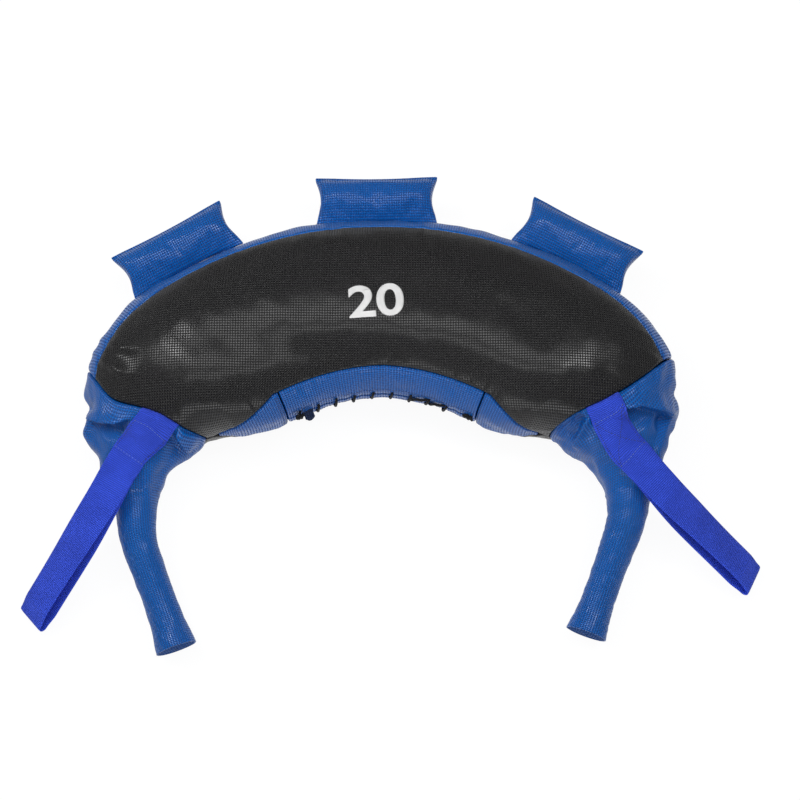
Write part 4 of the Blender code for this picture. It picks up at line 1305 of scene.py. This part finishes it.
def make_end_filling(side):
    sign = SIDES[side]
    theta = np.arange(64) * math.tau / 64
    s = np.linspace(BODY_END + END_FILL_GAPS[0], NECK_AT - END_FILL_GAPS[1], 34)
    rings = []
    for k, at in enumerate(s):
        share = k / (len(s) - 1)
        ring = skin(np.full_like(theta, sign * at), theta, mix(*END_FILL_INSETS, share))
        close = 1.0 - 0.5 * max(0.0, 1.0 - share / 0.12) ** 2 - 0.6 * max(0.0, (share - 0.9) / 0.1) ** 2
        middle = ring.mean(0)
        rings.append(middle + (ring - middle) * close)
    points = lumpy(np.array(rings), 0.018, 100 + sign, 0.0016)
    filled_form(f"{side}_end_fibre", points, "bag", MATERIALS["wadding"], "wadding",
                f"{side}_wadding", fill=0.6)

    along = np.linspace(HANDLE_FILL_START, HANDLE_LENGTH[side] - HANDLE_FILL_GAP, 70)
    centres = handle_centre(side, along)
    normal = spine(sign * (NECK_AT + np.maximum(along, 0)))[2]
    width = HANDLE_RADIUS * profile_value(HANDLE_PROFILE, 1, along / HANDLE_LENGTH[side])
    width = width - HANDLE_FILL_INSET
    ball = np.sqrt(np.maximum(HANDLE_FILL_BALL**2 - along**2, 0.0))
    width = np.where(along < 0, np.minimum(ball, width), width)
    close = np.clip((along[-1] - along) / 0.008, 0.0, 1.0)
    width = width * np.sqrt(1.0 - (1.0 - close) ** 2 * 0.75)
    points = lumpy(np.array(round_rings(centres, width, normal, theta)), 0.012, 110 + sign, 0.0006)
    filled_form(f"{side}_handle_filling", points, f"{side}_handle", MATERIALS["wadding"], "wadding",
                f"{side}_handle_core", fill=0.95)


def make_flap():
    """Inner flap behind the lacing, whose left end shows as a tongue in the slit."""
    s = np.linspace(-FLAP_HALF_LENGTH, FLAP_HALF_LENGTH, 160)
    share = np.linspace(1.0, -1.0, 26)
    grid_s, grid_v = np.broadcast_arrays(s[:, None], share[None, :])
    depth = FLAP_DEPTH + 0.0006 * waves(grid_s, 0.03, 120) * (1 - np.abs(grid_v))
    points = slit_frame(grid_s, grid_v * FLAP_HALF_HEIGHT, depth)
    normals = outward(points, inside_of(points))
    uv = np.stack((grid_s * 0.7, grid_v * FLAP_HALF_HEIGHT), -1) / EMBOSS_PITCH
    thing = cloth_sheet("slit_flap_cloth", points, normals, LINING, uv)
    finish_piece(thing, "bag", MATERIALS["lining"], "blue_vinyl", "fill_flap")
    make_tongue()


def make_tongue():
    """A folded corner of cloth that hangs out of the slit beside the lace's first knot."""
    s = np.linspace(-0.1315, -0.1150, 26)
    out = np.linspace(-0.0075, 0.0104, 24)
    grid_s, grid_o = np.broadcast_arrays(s[:, None], out[None, :])
    side = np.abs(grid_s - s.mean()) / (s[-1] - s[0]) * 2
    round_end = grid_o - 0.0030 * side**2 * smooth((grid_o - 0.002) / 0.006)
    height = 0.0004 - 0.0042 * smooth((grid_o + 0.001) / 0.010)
    height += 0.0006 * waves(grid_s, 0.011, 130) * smooth(grid_o / 0.006)
    points = slit_frame(grid_s, np.full_like(grid_s, 0.0002), -round_end)
    points[..., 2] += height
    normals = grid_normals(points)
    normals *= np.sign(normals[..., 2:3].mean())
    uv = np.stack((grid_s * 0.7, grid_o), -1) / EMBOSS_PITCH
    thing = cloth_sheet("slit_tongue", points, normals, LINING, uv)
    finish_piece(thing, "bag", MATERIALS["lining"], "blue_vinyl")


def stitch_holes(sign):
    """Lengths along the slit of the holes in the front lip (1) or the back lip (-1)."""
    lengths = np.linspace(-STITCH_HALF_SPAN, STITCH_HALF_SPAN, STITCHES)
    row = lengths[:-1] if sign > 0 else lengths[1:]
    return row + sign * STITCH_LEAN


def cord_pass(start, end, sign, slack=0.0):
    """Points from a front hole down behind the lips (1), or from a back hole up before them (-1)."""
    turn = np.arange(20) / 20 * math.pi
    cos, sin = sign * np.cos(turn), sign * np.sin(turn)
    height = (SLIT_GAP / 2 + HOLE_EDGE) * np.sign(cos) * np.abs(cos) ** 0.5
    depth = LIP_THICKNESS / 2 + (CORD_DEPTH + slack) * np.sign(sin) * np.abs(sin) ** 0.7
    along = mix(start, end, smooth(1.2 * turn / math.pi - 0.1))
    return slit_frame(along, height, depth)


def slack_run(start, end):
    """A length that was not pulled tight: from a back hole along the outside to the next front hole."""
    share = np.arange(24) / 24
    height = (SLIT_GAP / 2 + HOLE_EDGE) * mix(-1.0, 1.0, smooth(share * 2.4))
    height -= 0.0012 * np.sin(math.pi * share)
    depth = LIP_THICKNESS / 2 - 0.0042 * np.abs(np.sin(math.pi * share)) ** 0.5
    return slit_frame(mix(start, end, share), height, depth)


def lace_route():
    """The cord's middle line: a knot, eight slanting stitches through the lips, and a knot."""
    front, back = stitch_holes(1), stitch_holes(-1)
    dice = np.random.default_rng(7)
    line = []
    for k in range(len(front)):
        out_at = back[k]
        if k in SLACK_STITCHES:
            out_at = back[k] - CORD_BESIDE
            line.append(cord_pass(front[k], back[k - 1] + CORD_BESIDE, 1))
            line.append(slack_run(back[k - 1] + CORD_BESIDE, front[k + 1] - CORD_BESIDE))
            line.append(cord_pass(front[k + 1] - CORD_BESIDE, out_at, 1))
        else:
            line.append(cord_pass(front[k], out_at, 1))
        if k + 1 < len(front):
            line.append(cord_pass(out_at, front[k + 1], -1, dice.uniform(-0.0006, 0.0010)))
    route = np.concatenate(line)
    first = slit_frame(front[0], SLIT_GAP / 2 + HOLE_EDGE, LIP_THICKNESS / 2)
    last = slit_frame(back[-1], -SLIT_GAP / 2 - HOLE_EDGE, LIP_THICKNESS / 2)
    first_knot = knot_points(first, front[0], 1, -0.0032, -0.0015)
    last_knot = knot_points(last, back[-1], -1, 0.0078, 0.0150, 0.0040)
    return np.concatenate((first_knot, route[1:], last_knot[::-1]))


def knot_points(hole, s, way, beside, above, out=0.0062):
    """An overhand knot that sits by a hole, and its short cut tail; the last point is the hole."""
    _, tangent, normal = spine(np.array(s))
    turn = np.linspace(0.25, math.tau - 0.25, 40)
    size = 0.00155
    x = (np.sin(turn) + 2 * np.sin(2 * turn)) * size
    y = (np.cos(turn) - 2 * np.cos(2 * turn)) * size
    z = -np.sin(3 * turn) * size * 0.9
    centre = hole - normal * out + tangent * beside + UP * above
    knot = centre + tangent * x[:, None] + UP * y[:, None] - normal * z[:, None]
    tail_end = knot[0] + tangent * way * -0.004 - normal * 0.0015 - UP * 0.0045
    tail = np.array([mix(tail_end, knot[0], t) for t in (0.0, 0.35, 0.7)])
    return np.concatenate((tail, knot, [mix(knot[-1], hole, 0.5), hole]))


def resample(points, step):
    """Even points along a line, eased so that it has no kinks, and its length."""
    for _ in range(3):
        eased = (points[:-2] + 2 * points[1:-1] + points[2:]) / 4
        points = np.concatenate((points[:1], eased, points[-1:]))
    at = run_lengths(points)
    want = np.linspace(0.0, at[-1], int(at[-1] / step) + 1)
    return np.stack([np.interp(want, at, points[:, k]) for k in range(3)], -1), at[-1]


def tube_rings(points, radius, sides):
    """Rings round a line, without twist."""
    way = unit(np.gradient(points, axis=0))
    across = np.zeros_like(points)
    across[0] = unit(np.cross(way[0], UP))
    for k in range(1, len(points)):
        across[k] = unit(across[k - 1] - way[k] * np.dot(across[k - 1], way[k]))
    turn = (np.arange(sides) * math.tau / sides)[None, :, None]
    return points[:, None] + radius * (
        np.cos(turn) * across[:, None] + np.sin(turn) * np.cross(way, across)[:, None]
    )


def make_lace():
    route, length = resample(lace_route(), 0.0006)
    sides = 12
    around = np.arange(sides + 1) / sides
    along = run_lengths(route)[:, None] * MILLIMETRES
    uv = np.stack(np.broadcast_arrays(along, around[None, :]), -1)
    thing = closed_rings("slit_lace", tube_rings(route, CORD_RADIUS, sides), uv, turned=True)
    finish_piece(thing, "bag", MATERIALS["cord"], "black_cord", "lace")
    print(f"lace: {length * MILLIMETRES:.0f} mm with its knots")


def finish_piece(thing, body, material, slot, *nodes):
    if material is not None:
        thing.data.materials.append(material)
    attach(thing, body)
    if nodes:
        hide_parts(*nodes)


def add(tree, kind, inputs, **settings):
    """A new node with its settings, and its inputs given as values or as the sockets that feed them."""
    node = tree.nodes.new(kind)
    for key, value in settings.items():
        setattr(node, key, value)
    for key, value in inputs.items():
        if isinstance(value, bpy.types.NodeSocket):
            tree.links.new(value, node.inputs[key])
        else:
            node.inputs[key].default_value = value
    return node


def calc(tree, operation, *values):
    return add(tree, "ShaderNodeMath", dict(enumerate(values)), operation=operation).outputs[0]


def wave(tree, value, scale, kind="SINE"):
    return calc(tree, kind, calc(tree, "MULTIPLY", value, scale))


def noise(tree, scale, detail, roughness):
    place = tree.nodes.new("ShaderNodeTexCoord").outputs["Object"]
    inputs = {"Vector": place, "Scale": scale, "Detail": detail, "Roughness": roughness}
    return add(tree, "ShaderNodeTexNoise", inputs).outputs["Fac"]


def remap(tree, value, low, high, to_low, to_high):
    inputs = {"Value": value, "From Min": low, "From Max": high, "To Min": to_low, "To Max": to_high}
    return add(tree, "ShaderNodeMapRange", inputs, interpolation_type="SMOOTHSTEP").outputs["Result"]


def blend_colour(tree, share, *colours):
    first, second = (c if isinstance(c, bpy.types.NodeSocket) else (*c, 1.0) for c in colours)
    return add(tree, "ShaderNodeMix", {0: share, 6: first, 7: second}, data_type="RGBA").outputs[2]


def bump(tree, height, distance, **before):
    inputs = {"Height": height, "Distance": distance, **before}
    return add(tree, "ShaderNodeBump", inputs).outputs["Normal"]


def weave_map(tree):
    """The two lengths of a piece's own map."""
    node = add(tree, "ShaderNodeUVMap", {}, uv_map="weave")
    return add(tree, "ShaderNodeSeparateXYZ", {0: node.outputs[0]}).outputs[:2]


def seen_by(tree, first, *others):
    """1 for the kinds of ray that are named, else 0."""
    path = tree.nodes.new("ShaderNodeLightPath")
    seen = path.outputs[f"Is {first} Ray"]
    for kind in others:
        seen = calc(tree, "MAXIMUM", seen, path.outputs[f"Is {kind} Ray"])
    return seen


def new_material(name, colour, roughness, levels):
    material = bpy.data.materials.new(name)
    material.use_nodes = True
    tree = material.node_tree
    shader = tree.nodes["Principled BSDF"]
    shader.inputs["Base Color"].default_value = (*colour, 1.0)
    shader.inputs["Roughness"].default_value = roughness
    for key, value in levels.items():
        shader.inputs[key].default_value = value
    return material, tree


def surface(material, colour, roughness, normal):
    """Feed the three inputs of a material's shader that vary over a piece."""
    tree = material.node_tree
    inputs = tree.nodes["Principled BSDF"].inputs
    for key, socket in (("Base Color", colour), ("Roughness", roughness), ("Normal", normal)):
        tree.links.new(socket, inputs[key])
    return material


def embossed_vinyl(name, pad, groove, worn, gloss, shine, depth=0.00020):
    """Coated fabric pressed with a square grid of flat shiny pads between dull grooves. The grooves' darker
    colour is painted shade in the grooves.
    """
    material, tree = new_material(name, pad, gloss, {"Specular IOR Level": shine})
    across, along = (wave(tree, length, math.tau, "COSINE") for length in weave_map(tree))
    pads = remap(tree, calc(tree, "ADD", across, along), -0.8, 0.5, 0.0, 1.0)
    rubbed = remap(tree, noise(tree, 22.0, 4.0, 0.6), 0.35, 0.7, 0.0, 0.25)
    # The groove colour, darker than the pads, is painted shade in the grooves; random patches take the worn
    # colour.
    colour = blend_colour(tree, rubbed, blend_colour(tree, pads, groove, pad), worn)
    smear = remap(tree, noise(tree, 60.0, 3.0, 0.6), 0.3, 0.7, -0.03, 0.05)
    rough = calc(tree, "ADD", remap(tree, pads, 0.0, 1.0, GROOVE_ROUGHNESS, gloss), smear)
    return surface(material, colour, rough, bump(tree, pads, depth))


def plain_floor():
    """White floor that also glows for the rays that look at it, so that it shows as the white page."""
    material, tree = new_material("pale_floor", (1.0, 1.0, 1.0), 0.9, {"Specular IOR Level": 0.0})
    glow = add(tree, "ShaderNodeEmission", {"Color": (1.0, 1.0, 1.0, 1.0), "Strength": 1.04})
    share = calc(tree, "MULTIPLY", seen_by(tree, "Camera", "Glossy", "Transmission"), 0.90)
    plain = tree.nodes["Principled BSDF"].outputs[0]
    both = add(tree, "ShaderNodeMixShader", {0: share, 1: plain, 2: glow.outputs[0]})
    tree.links.new(both.outputs[0], tree.nodes["Material Output"].inputs["Surface"])
    return material


def stitch_nodes():
    """Geometry nodes: a row of small rounded stitches along a curve."""
    tree = bpy.data.node_groups.new("stitch_row", "GeometryNodeTree")
    for name, way, kind in (
        ("Geometry", "INPUT", "Geometry"), ("Pitch", "INPUT", "Float"), ("Stitch Length", "INPUT", "Float"),
        ("Thread", "INPUT", "Float"), ("Material", "INPUT", "Material"), ("Geometry", "OUTPUT", "Geometry"),
    ):
        tree.interface.new_socket(name, in_out=way, socket_type=f"NodeSocket{kind}")
    given = tree.nodes.new("NodeGroupInput").outputs
    points = add(tree, "GeometryNodeCurveToPoints", {"Curve": given["Geometry"], "Length": given["Pitch"]},
                 mode="LENGTH").outputs
    ball = add(tree, "GeometryNodeMeshUVSphere", {"Segments": 8, "Rings": 6, "Radius": 0.5}).outputs
    scale = add(tree, "ShaderNodeCombineXYZ",
                {"X": given["Thread"], "Y": given["Thread"], "Z": given["Stitch Length"]}).outputs
    shape = add(tree, "GeometryNodeTransform", {"Geometry": ball["Mesh"], "Scale": scale["Vector"]}).outputs
    place = add(tree, "GeometryNodeInstanceOnPoints", {
        "Points": points["Points"], "Instance": shape["Geometry"], "Rotation": points["Rotation"],
    }).outputs
    real = add(tree, "GeometryNodeRealizeInstances", {"Geometry": place["Instances"]}).outputs
    paint = add(tree, "GeometryNodeSetMaterial",
                {"Geometry": real["Geometry"], "Material": given["Material"]}).outputs
    add(tree, "NodeGroupOutput", {"Geometry": paint["Geometry"]})
    return tree


def stitch_rows(name, rows, material, thread):
    """Stitches along some lines, as one plain mesh."""
    curve = bpy.data.curves.new(name + "_lines", "CURVE")
    curve.dimensions = "3D"
    for row in rows:
        line = curve.splines.new("POLY")
        line.points.add(len(row) - 1)
        line.points.foreach_set("co", np.concatenate((row, np.ones((len(row), 1))), 1).ravel())
    guide = put_in_scene(name + "_lines", curve)
    tree = bpy.data.node_groups.get("stitch_row") or stitch_nodes()
    sewn = guide.modifiers.new("stitches", "NODES")
    sewn.node_group = tree
    values = {"Pitch": SEW_PITCH, "Stitch Length": SEW_LENGTH, "Thread": thread, "Material": material}
    for item in tree.interface.items_tree:
        if item.in_out == "INPUT" and item.name in values:
            sewn[item.identifier] = values[item.name]
    bpy.context.view_layer.update()
    mesh = evaluated_mesh(guide)
    bpy.data.objects.remove(guide)
    bpy.data.curves.remove(curve)
    mesh.name = name
    mesh.shade_smooth()
    return put_in_scene(name, mesh)


def on_surface(tree, px, py, z, lift):
    """Point of a surface that the photograph shows at a pixel, lifted a little off it."""
    point = from_pixels(px, py, z)
    for _ in range(4):
        point = from_pixels(px, py, height_over(tree, point[0], point[1], z))
    return point + UP * lift


def number_mesh():
    """The number as a flat mesh of small faces, in its real size round the origin."""
    data = bpy.data.curves.new("weight_number", "FONT")
    data.body = "20"
    data.size = 1.0
    data.offset = 0.022
    data.resolution_u = 12
    data.align_x = "CENTER"
    thing = put_in_scene("weight_number", data)
    mesh = evaluated_mesh(thing)
    bpy.data.objects.remove(thing)
    work = bmesh.new()
    work.from_mesh(mesh)
    bmesh.ops.triangulate(work, faces=work.faces)
    co = np.array([v.co for v in work.verts])
    low, high = co.min(0), co.max(0)
    scale = MARK_HEIGHT / (high[1] - low[1])
    widen = MARK_WIDTH / (high[0] - low[0]) / scale
    for vertex in work.verts:
        vertex.co.x = (vertex.co.x - (low[0] + high[0]) / 2) * scale * widen
        vertex.co.y = (vertex.co.y - (low[1] + high[1]) / 2) * scale
    for _ in range(4):
        long = [e for e in work.edges if e.calc_length() > MARK_EDGE]
        if not long:
            break
        bmesh.ops.subdivide_edges(work, edges=long, cuts=1)
        bmesh.ops.triangulate(work, faces=[f for f in work.faces if len(f.verts) > 3])
    bmesh.ops.remove_doubles(work, verts=work.verts, dist=1e-6)
    return mesh, work


def make_weight_mark(panel_tree):
    """The plain number on the panel, pressed onto its cloth."""
    mesh, work = number_mesh()
    cos, sin = math.cos(MARK_TILT), math.sin(MARK_TILT)
    for vertex in work.verts:
        px = MARK_PIXEL[0] + (vertex.co.x * cos - vertex.co.y * sin) / PIXEL_SIZE
        py = MARK_PIXEL[1] - (vertex.co.x * sin + vertex.co.y * cos) / PIXEL_SIZE
        vertex.co = on_surface(panel_tree, px, py, PANEL_HEIGHT, MARK_LIFT)
    work.to_mesh(mesh)
    work.free()
    mesh.name = "weight_number"
    thing = put_in_scene("weight_number", mesh)
    wall = thing.modifiers.new("film", "SOLIDIFY")
    wall.thickness = MARK_THICKNESS
    wall.offset = 0.0
    bake(thing)
    thing.data.materials.clear()
    finish_piece(thing, "bag", MATERIALS["print"], "black_vinyl")
    turn_outward(thing)


def webbing_material():
    """Narrow woven strap: fine ribs across it and rows of yarn along it."""
    rib_pitch, yarn_width = 2.1, 1.25
    material, tree = new_material("blue_webbing", (0.026, 0.040, 0.50), 0.75, {
        "Sheen Weight": 0.12, "Sheen Roughness": 0.4, "Sheen Tint": (0.45, 0.5, 1.0, 1.0),
        "Specular IOR Level": 0.3,
    })
    u, v = weave_map(tree)
    rib = calc(tree, "ABSOLUTE", wave(tree, u, math.pi / rib_pitch))
    offset = calc(tree, "MULTIPLY", calc(tree, "FLOOR", calc(tree, "DIVIDE", u, rib_pitch)), 0.5)
    row = calc(tree, "ADD", calc(tree, "DIVIDE", v, yarn_width), offset)
    yarn = calc(tree, "ABSOLUTE", wave(tree, row, math.pi))
    edge = remap(tree, calc(tree, "ABSOLUTE", v), 18.4, 19.4, 0.0, 1.0)
    height = calc(tree, "ADD", calc(tree, "MULTIPLY", rib, 0.75), calc(tree, "MULTIPLY", yarn, 0.25))
    height = calc(tree, "ADD", height, calc(tree, "MULTIPLY", edge, 0.3))
    fuzz, worn = noise(tree, 1400.0, 3.0, 0.6), noise(tree, 30.0, 3.0, 0.5)
    lit = calc(tree, "ADD", calc(tree, "MULTIPLY", height, 0.8), calc(tree, "MULTIPLY", fuzz, 0.4))
    lit = calc(tree, "MULTIPLY", lit, remap(tree, worn, 0.3, 0.7, 0.85, 1.1))
    colour = blend_colour(tree, lit, (0.004, 0.014, 0.19), (0.042, 0.105, 0.90))
    fine = bump(tree, fuzz, 0.00005)
    return surface(material, colour, remap(tree, fuzz, 0.2, 0.8, 0.65, 0.9),
                   bump(tree, height, 0.00070, Normal=fine))


def braided_cord():
    material, tree = new_material("black_cord", (0.012, 0.012, 0.013), 0.7,
                                  {"Sheen Weight": 0.04, "Specular IOR Level": 0.3})
    u, v = weave_map(tree)
    turn = calc(tree, "MULTIPLY", v, math.tau * 4)
    along = calc(tree, "MULTIPLY", u, math.tau / 2.4)
    one, two = (calc(tree, "SINE", calc(tree, way, turn, along)) for way in ("ADD", "SUBTRACT"))
    braid = remap(tree, calc(tree, "MAXIMUM", one, two), -0.4, 1.0, 0.0, 1.0)
    # Colour darker between the braid's strands: painted shade in the braid's hollows.
    colour = blend_colour(tree, braid, (0.0015, 0.0015, 0.002), (0.007, 0.007, 0.009))
    fuzz = noise(tree, 2500.0, 2.0, 0.6)
    return surface(material, colour, remap(tree, fuzz, 0.2, 0.8, 0.6, 0.85), bump(tree, braid, 0.0003))


def woven_cloth(name, colour, dark, pitch):
    """Plain woven cotton, over and under."""
    material, tree = new_material(name, colour, 0.85, {"Sheen Weight": 0.2})
    weave = calc(tree, "MULTIPLY", *(wave(tree, length, math.tau / pitch) for length in weave_map(tree)))
    worn = noise(tree, 40.0, 4.0, 0.6)
    light, age = remap(tree, weave, -0.9, 0.9, 0.2, 1.0), remap(tree, worn, 0.3, 0.7, 0.7, 1.0)
    shade = blend_colour(tree, calc(tree, "MULTIPLY", light, age), dark, colour)
    return surface(material, shade, remap(tree, worn, 0.2, 0.8, 0.8, 0.95), bump(tree, weave, 0.0002))


def fibre_fill():
    """Loose polyester fibre."""
    material, tree = new_material("wadding", (0.78, 0.77, 0.73), 0.95,
                                  {"Sheen Weight": 0.5, "Subsurface Weight": 0.1})
    clump, strand = noise(tree, 120.0, 6.0, 0.75), noise(tree, 900.0, 4.0, 0.8)
    share = remap(tree, clump, 0.3, 0.7, 0.0, 1.0)
    # Colour darker where the clumps sit low: painted shade in the hollows between clumps.
    return surface(material, blend_colour(tree, share, (0.55, 0.54, 0.50), (0.84, 0.83, 0.80)),
                   remap(tree, strand, 0.2, 0.8, 0.85, 1.0),
                   bump(tree, clump, 0.002, Normal=bump(tree, strand, 0.0004)))


def printed_film():
    """White print, a little worn."""
    material, tree = new_material("white_print", (0.82, 0.82, 0.82), 0.45, {})
    grain, worn = noise(tree, 700.0, 3.0, 0.6), noise(tree, 60.0, 3.0, 0.6)
    share = remap(tree, worn, 0.35, 0.75, 0.0, 1.0)
    return surface(material, blend_colour(tree, share, (0.76, 0.76, 0.76), (0.86, 0.86, 0.86)),
                   remap(tree, grain, 0.2, 0.8, 0.4, 0.55), bump(tree, grain, 0.0001))


def sewing_thread(name, colour, light):
    material, tree = new_material(name, colour, 0.6, {"Sheen Weight": 0.3})
    twist = noise(tree, 1500.0, 2.0, 0.5)
    return surface(material, blend_colour(tree, twist, colour, light),
                   remap(tree, twist, 0.2, 0.8, 0.5, 0.7), bump(tree, twist, 0.0001))


def make_camera():
    eye, right, up, ahead = camera_axes()
    data = bpy.data.cameras.new("photo_camera")
    data.lens = CAMERA_LENS
    data.sensor_width = CAMERA_SENSOR
    data.clip_start, data.clip_end = 0.1, 30.0
    camera = put_in_scene("photo_camera", data)
    camera.matrix_world = Matrix.Translation(eye) @ Matrix((right, up, -ahead)).transposed().to_4x4()
    bpy.context.scene.camera = camera


# Lamps: name, place, aim, size and power
LAMPS = (
    ("overhead_softbox", (-0.10, 0.16, 1.70), (-0.10, 0.16, 0.0), (2.7, 0.52), 14.5),
    ("left_key", (-0.80, 0.35, 1.65), (-0.1, 0.0, 0.1), (0.36, 0.36), 4.5),
    ("right_key", (0.90, 0.05, 1.65), (0.1, 0.0, 0.1), (0.36, 0.36), 3.0),
    ("left_fill", (-1.75, 0.25, 1.10), (-0.1, -0.1, 0.05), (0.22, 0.8), 4.0),
    ("near_fill", (0.05, -0.42, 1.75), (0.0, 0.1, 0.08), (1.7, 0.30), 5.0),
    ("front_fill", (0.0, -1.9, 0.55), (0, -0.1, 0.08), (1.8, 0.5), 8.0),
)


def area_lamp(name, place, aim, size, power):
    data = bpy.data.lights.new(name, "AREA")
    data.shape = "RECTANGLE"
    data.size, data.size_y = size
    data.energy = power
    way = (Vector(aim) - Vector(place)).normalized()
    turn = way.to_track_quat("-Z", "Y").to_matrix().to_4x4()
    put_in_scene(name, data).matrix_world = Matrix.Translation(place) @ turn


def make_stage():
    mesh = bpy.data.meshes.new("floor")
    reach = 6.0
    mesh.from_pydata([(-reach, -reach, 0), (reach, -reach, 0), (reach, reach, 0), (-reach, reach, 0)],
                     [], [(0, 1, 2, 3)])
    floor = put_in_scene("floor", mesh)
    mesh.materials.append(plain_floor())
    for lamp in LAMPS:
        area_lamp(*lamp)
    world = bpy.data.worlds.new("studio")
    bpy.context.scene.world = world
    world.use_nodes = True
    tree = world.node_tree
    back = tree.nodes["Background"].inputs
    back["Color"].default_value = (1.0, 1.0, 1.0, 1.0)
    seen = seen_by(tree, "Camera", "Transmission")
    tree.links.new(calc(tree, "MULTIPLY_ADD", seen, 0.90, 0.10), back["Strength"])
    bpy.context.scene.view_settings.view_transform = "Standard"


# Coated fabrics: pad, groove and worn colours, roughness and shine of the pads, and the grooves' depth; the
# groove colour is darker as painted shade in the grooves
VINYLS = {
    "black": ("black_vinyl", (0.0062, 0.0058, 0.0072), (0.0002, 0.0002, 0.0004), (0.006, 0.006, 0.007),
              0.21, 0.54, 0.00034),
    "blue": ("blue_vinyl", (0.001, 0.135, 0.53), (0.0003, 0.042, 0.22), (0.001, 0.105, 0.45),
             0.22, 0.46, 0.00038),
    # End discs: the blue vinyl darkened, as painted shade on the handles' end faces
    "end": ("shaded_end_disc_vinyl", (0.0008, 0.060, 0.26), (0.0003, 0.030, 0.15), (0.001, 0.055, 0.24),
            0.55, 0.05),
    "lining": ("lining_side", (0.005, 0.020, 0.075), (0.003, 0.010, 0.040), (0.008, 0.030, 0.10),
               0.5, 0.3),
}
MATERIALS = {}


def make_materials():
    for key, values in VINYLS.items():
        MATERIALS[key] = embossed_vinyl(*values)
    MATERIALS["webbing"] = webbing_material()
    MATERIALS["cord"] = braided_cord()
    MATERIALS["pouch"] = woven_cloth("pouch_cloth", (0.50, 0.46, 0.38), (0.30, 0.27, 0.21), 1.4)
    MATERIALS["wadding"] = fibre_fill()
    MATERIALS["print"] = printed_film()
    MATERIALS["pale_thread"] = sewing_thread("pale_thread", (0.08, 0.15, 0.56), (0.18, 0.28, 0.78))
    MATERIALS["dark_thread"] = sewing_thread("dark_thread", (0.004, 0.008, 0.05), (0.012, 0.02, 0.10))


def main():
    make_camera()
    make_stage()
    make_materials()
    front, _ = make_panels()
    make_outer_gusset()
    make_inner_gussets()
    for k, which in enumerate(GRIP_TURNS):
        make_grip(which, 60 + k)
    for side in SIDES:
        sleeve = make_end(side)
        make_strap(side, surface_tree(sleeve))
        make_end_filling(side)
    make_pouches()
    make_flap()
    make_lace()
    make_weight_mark(surface_tree(front))


main()
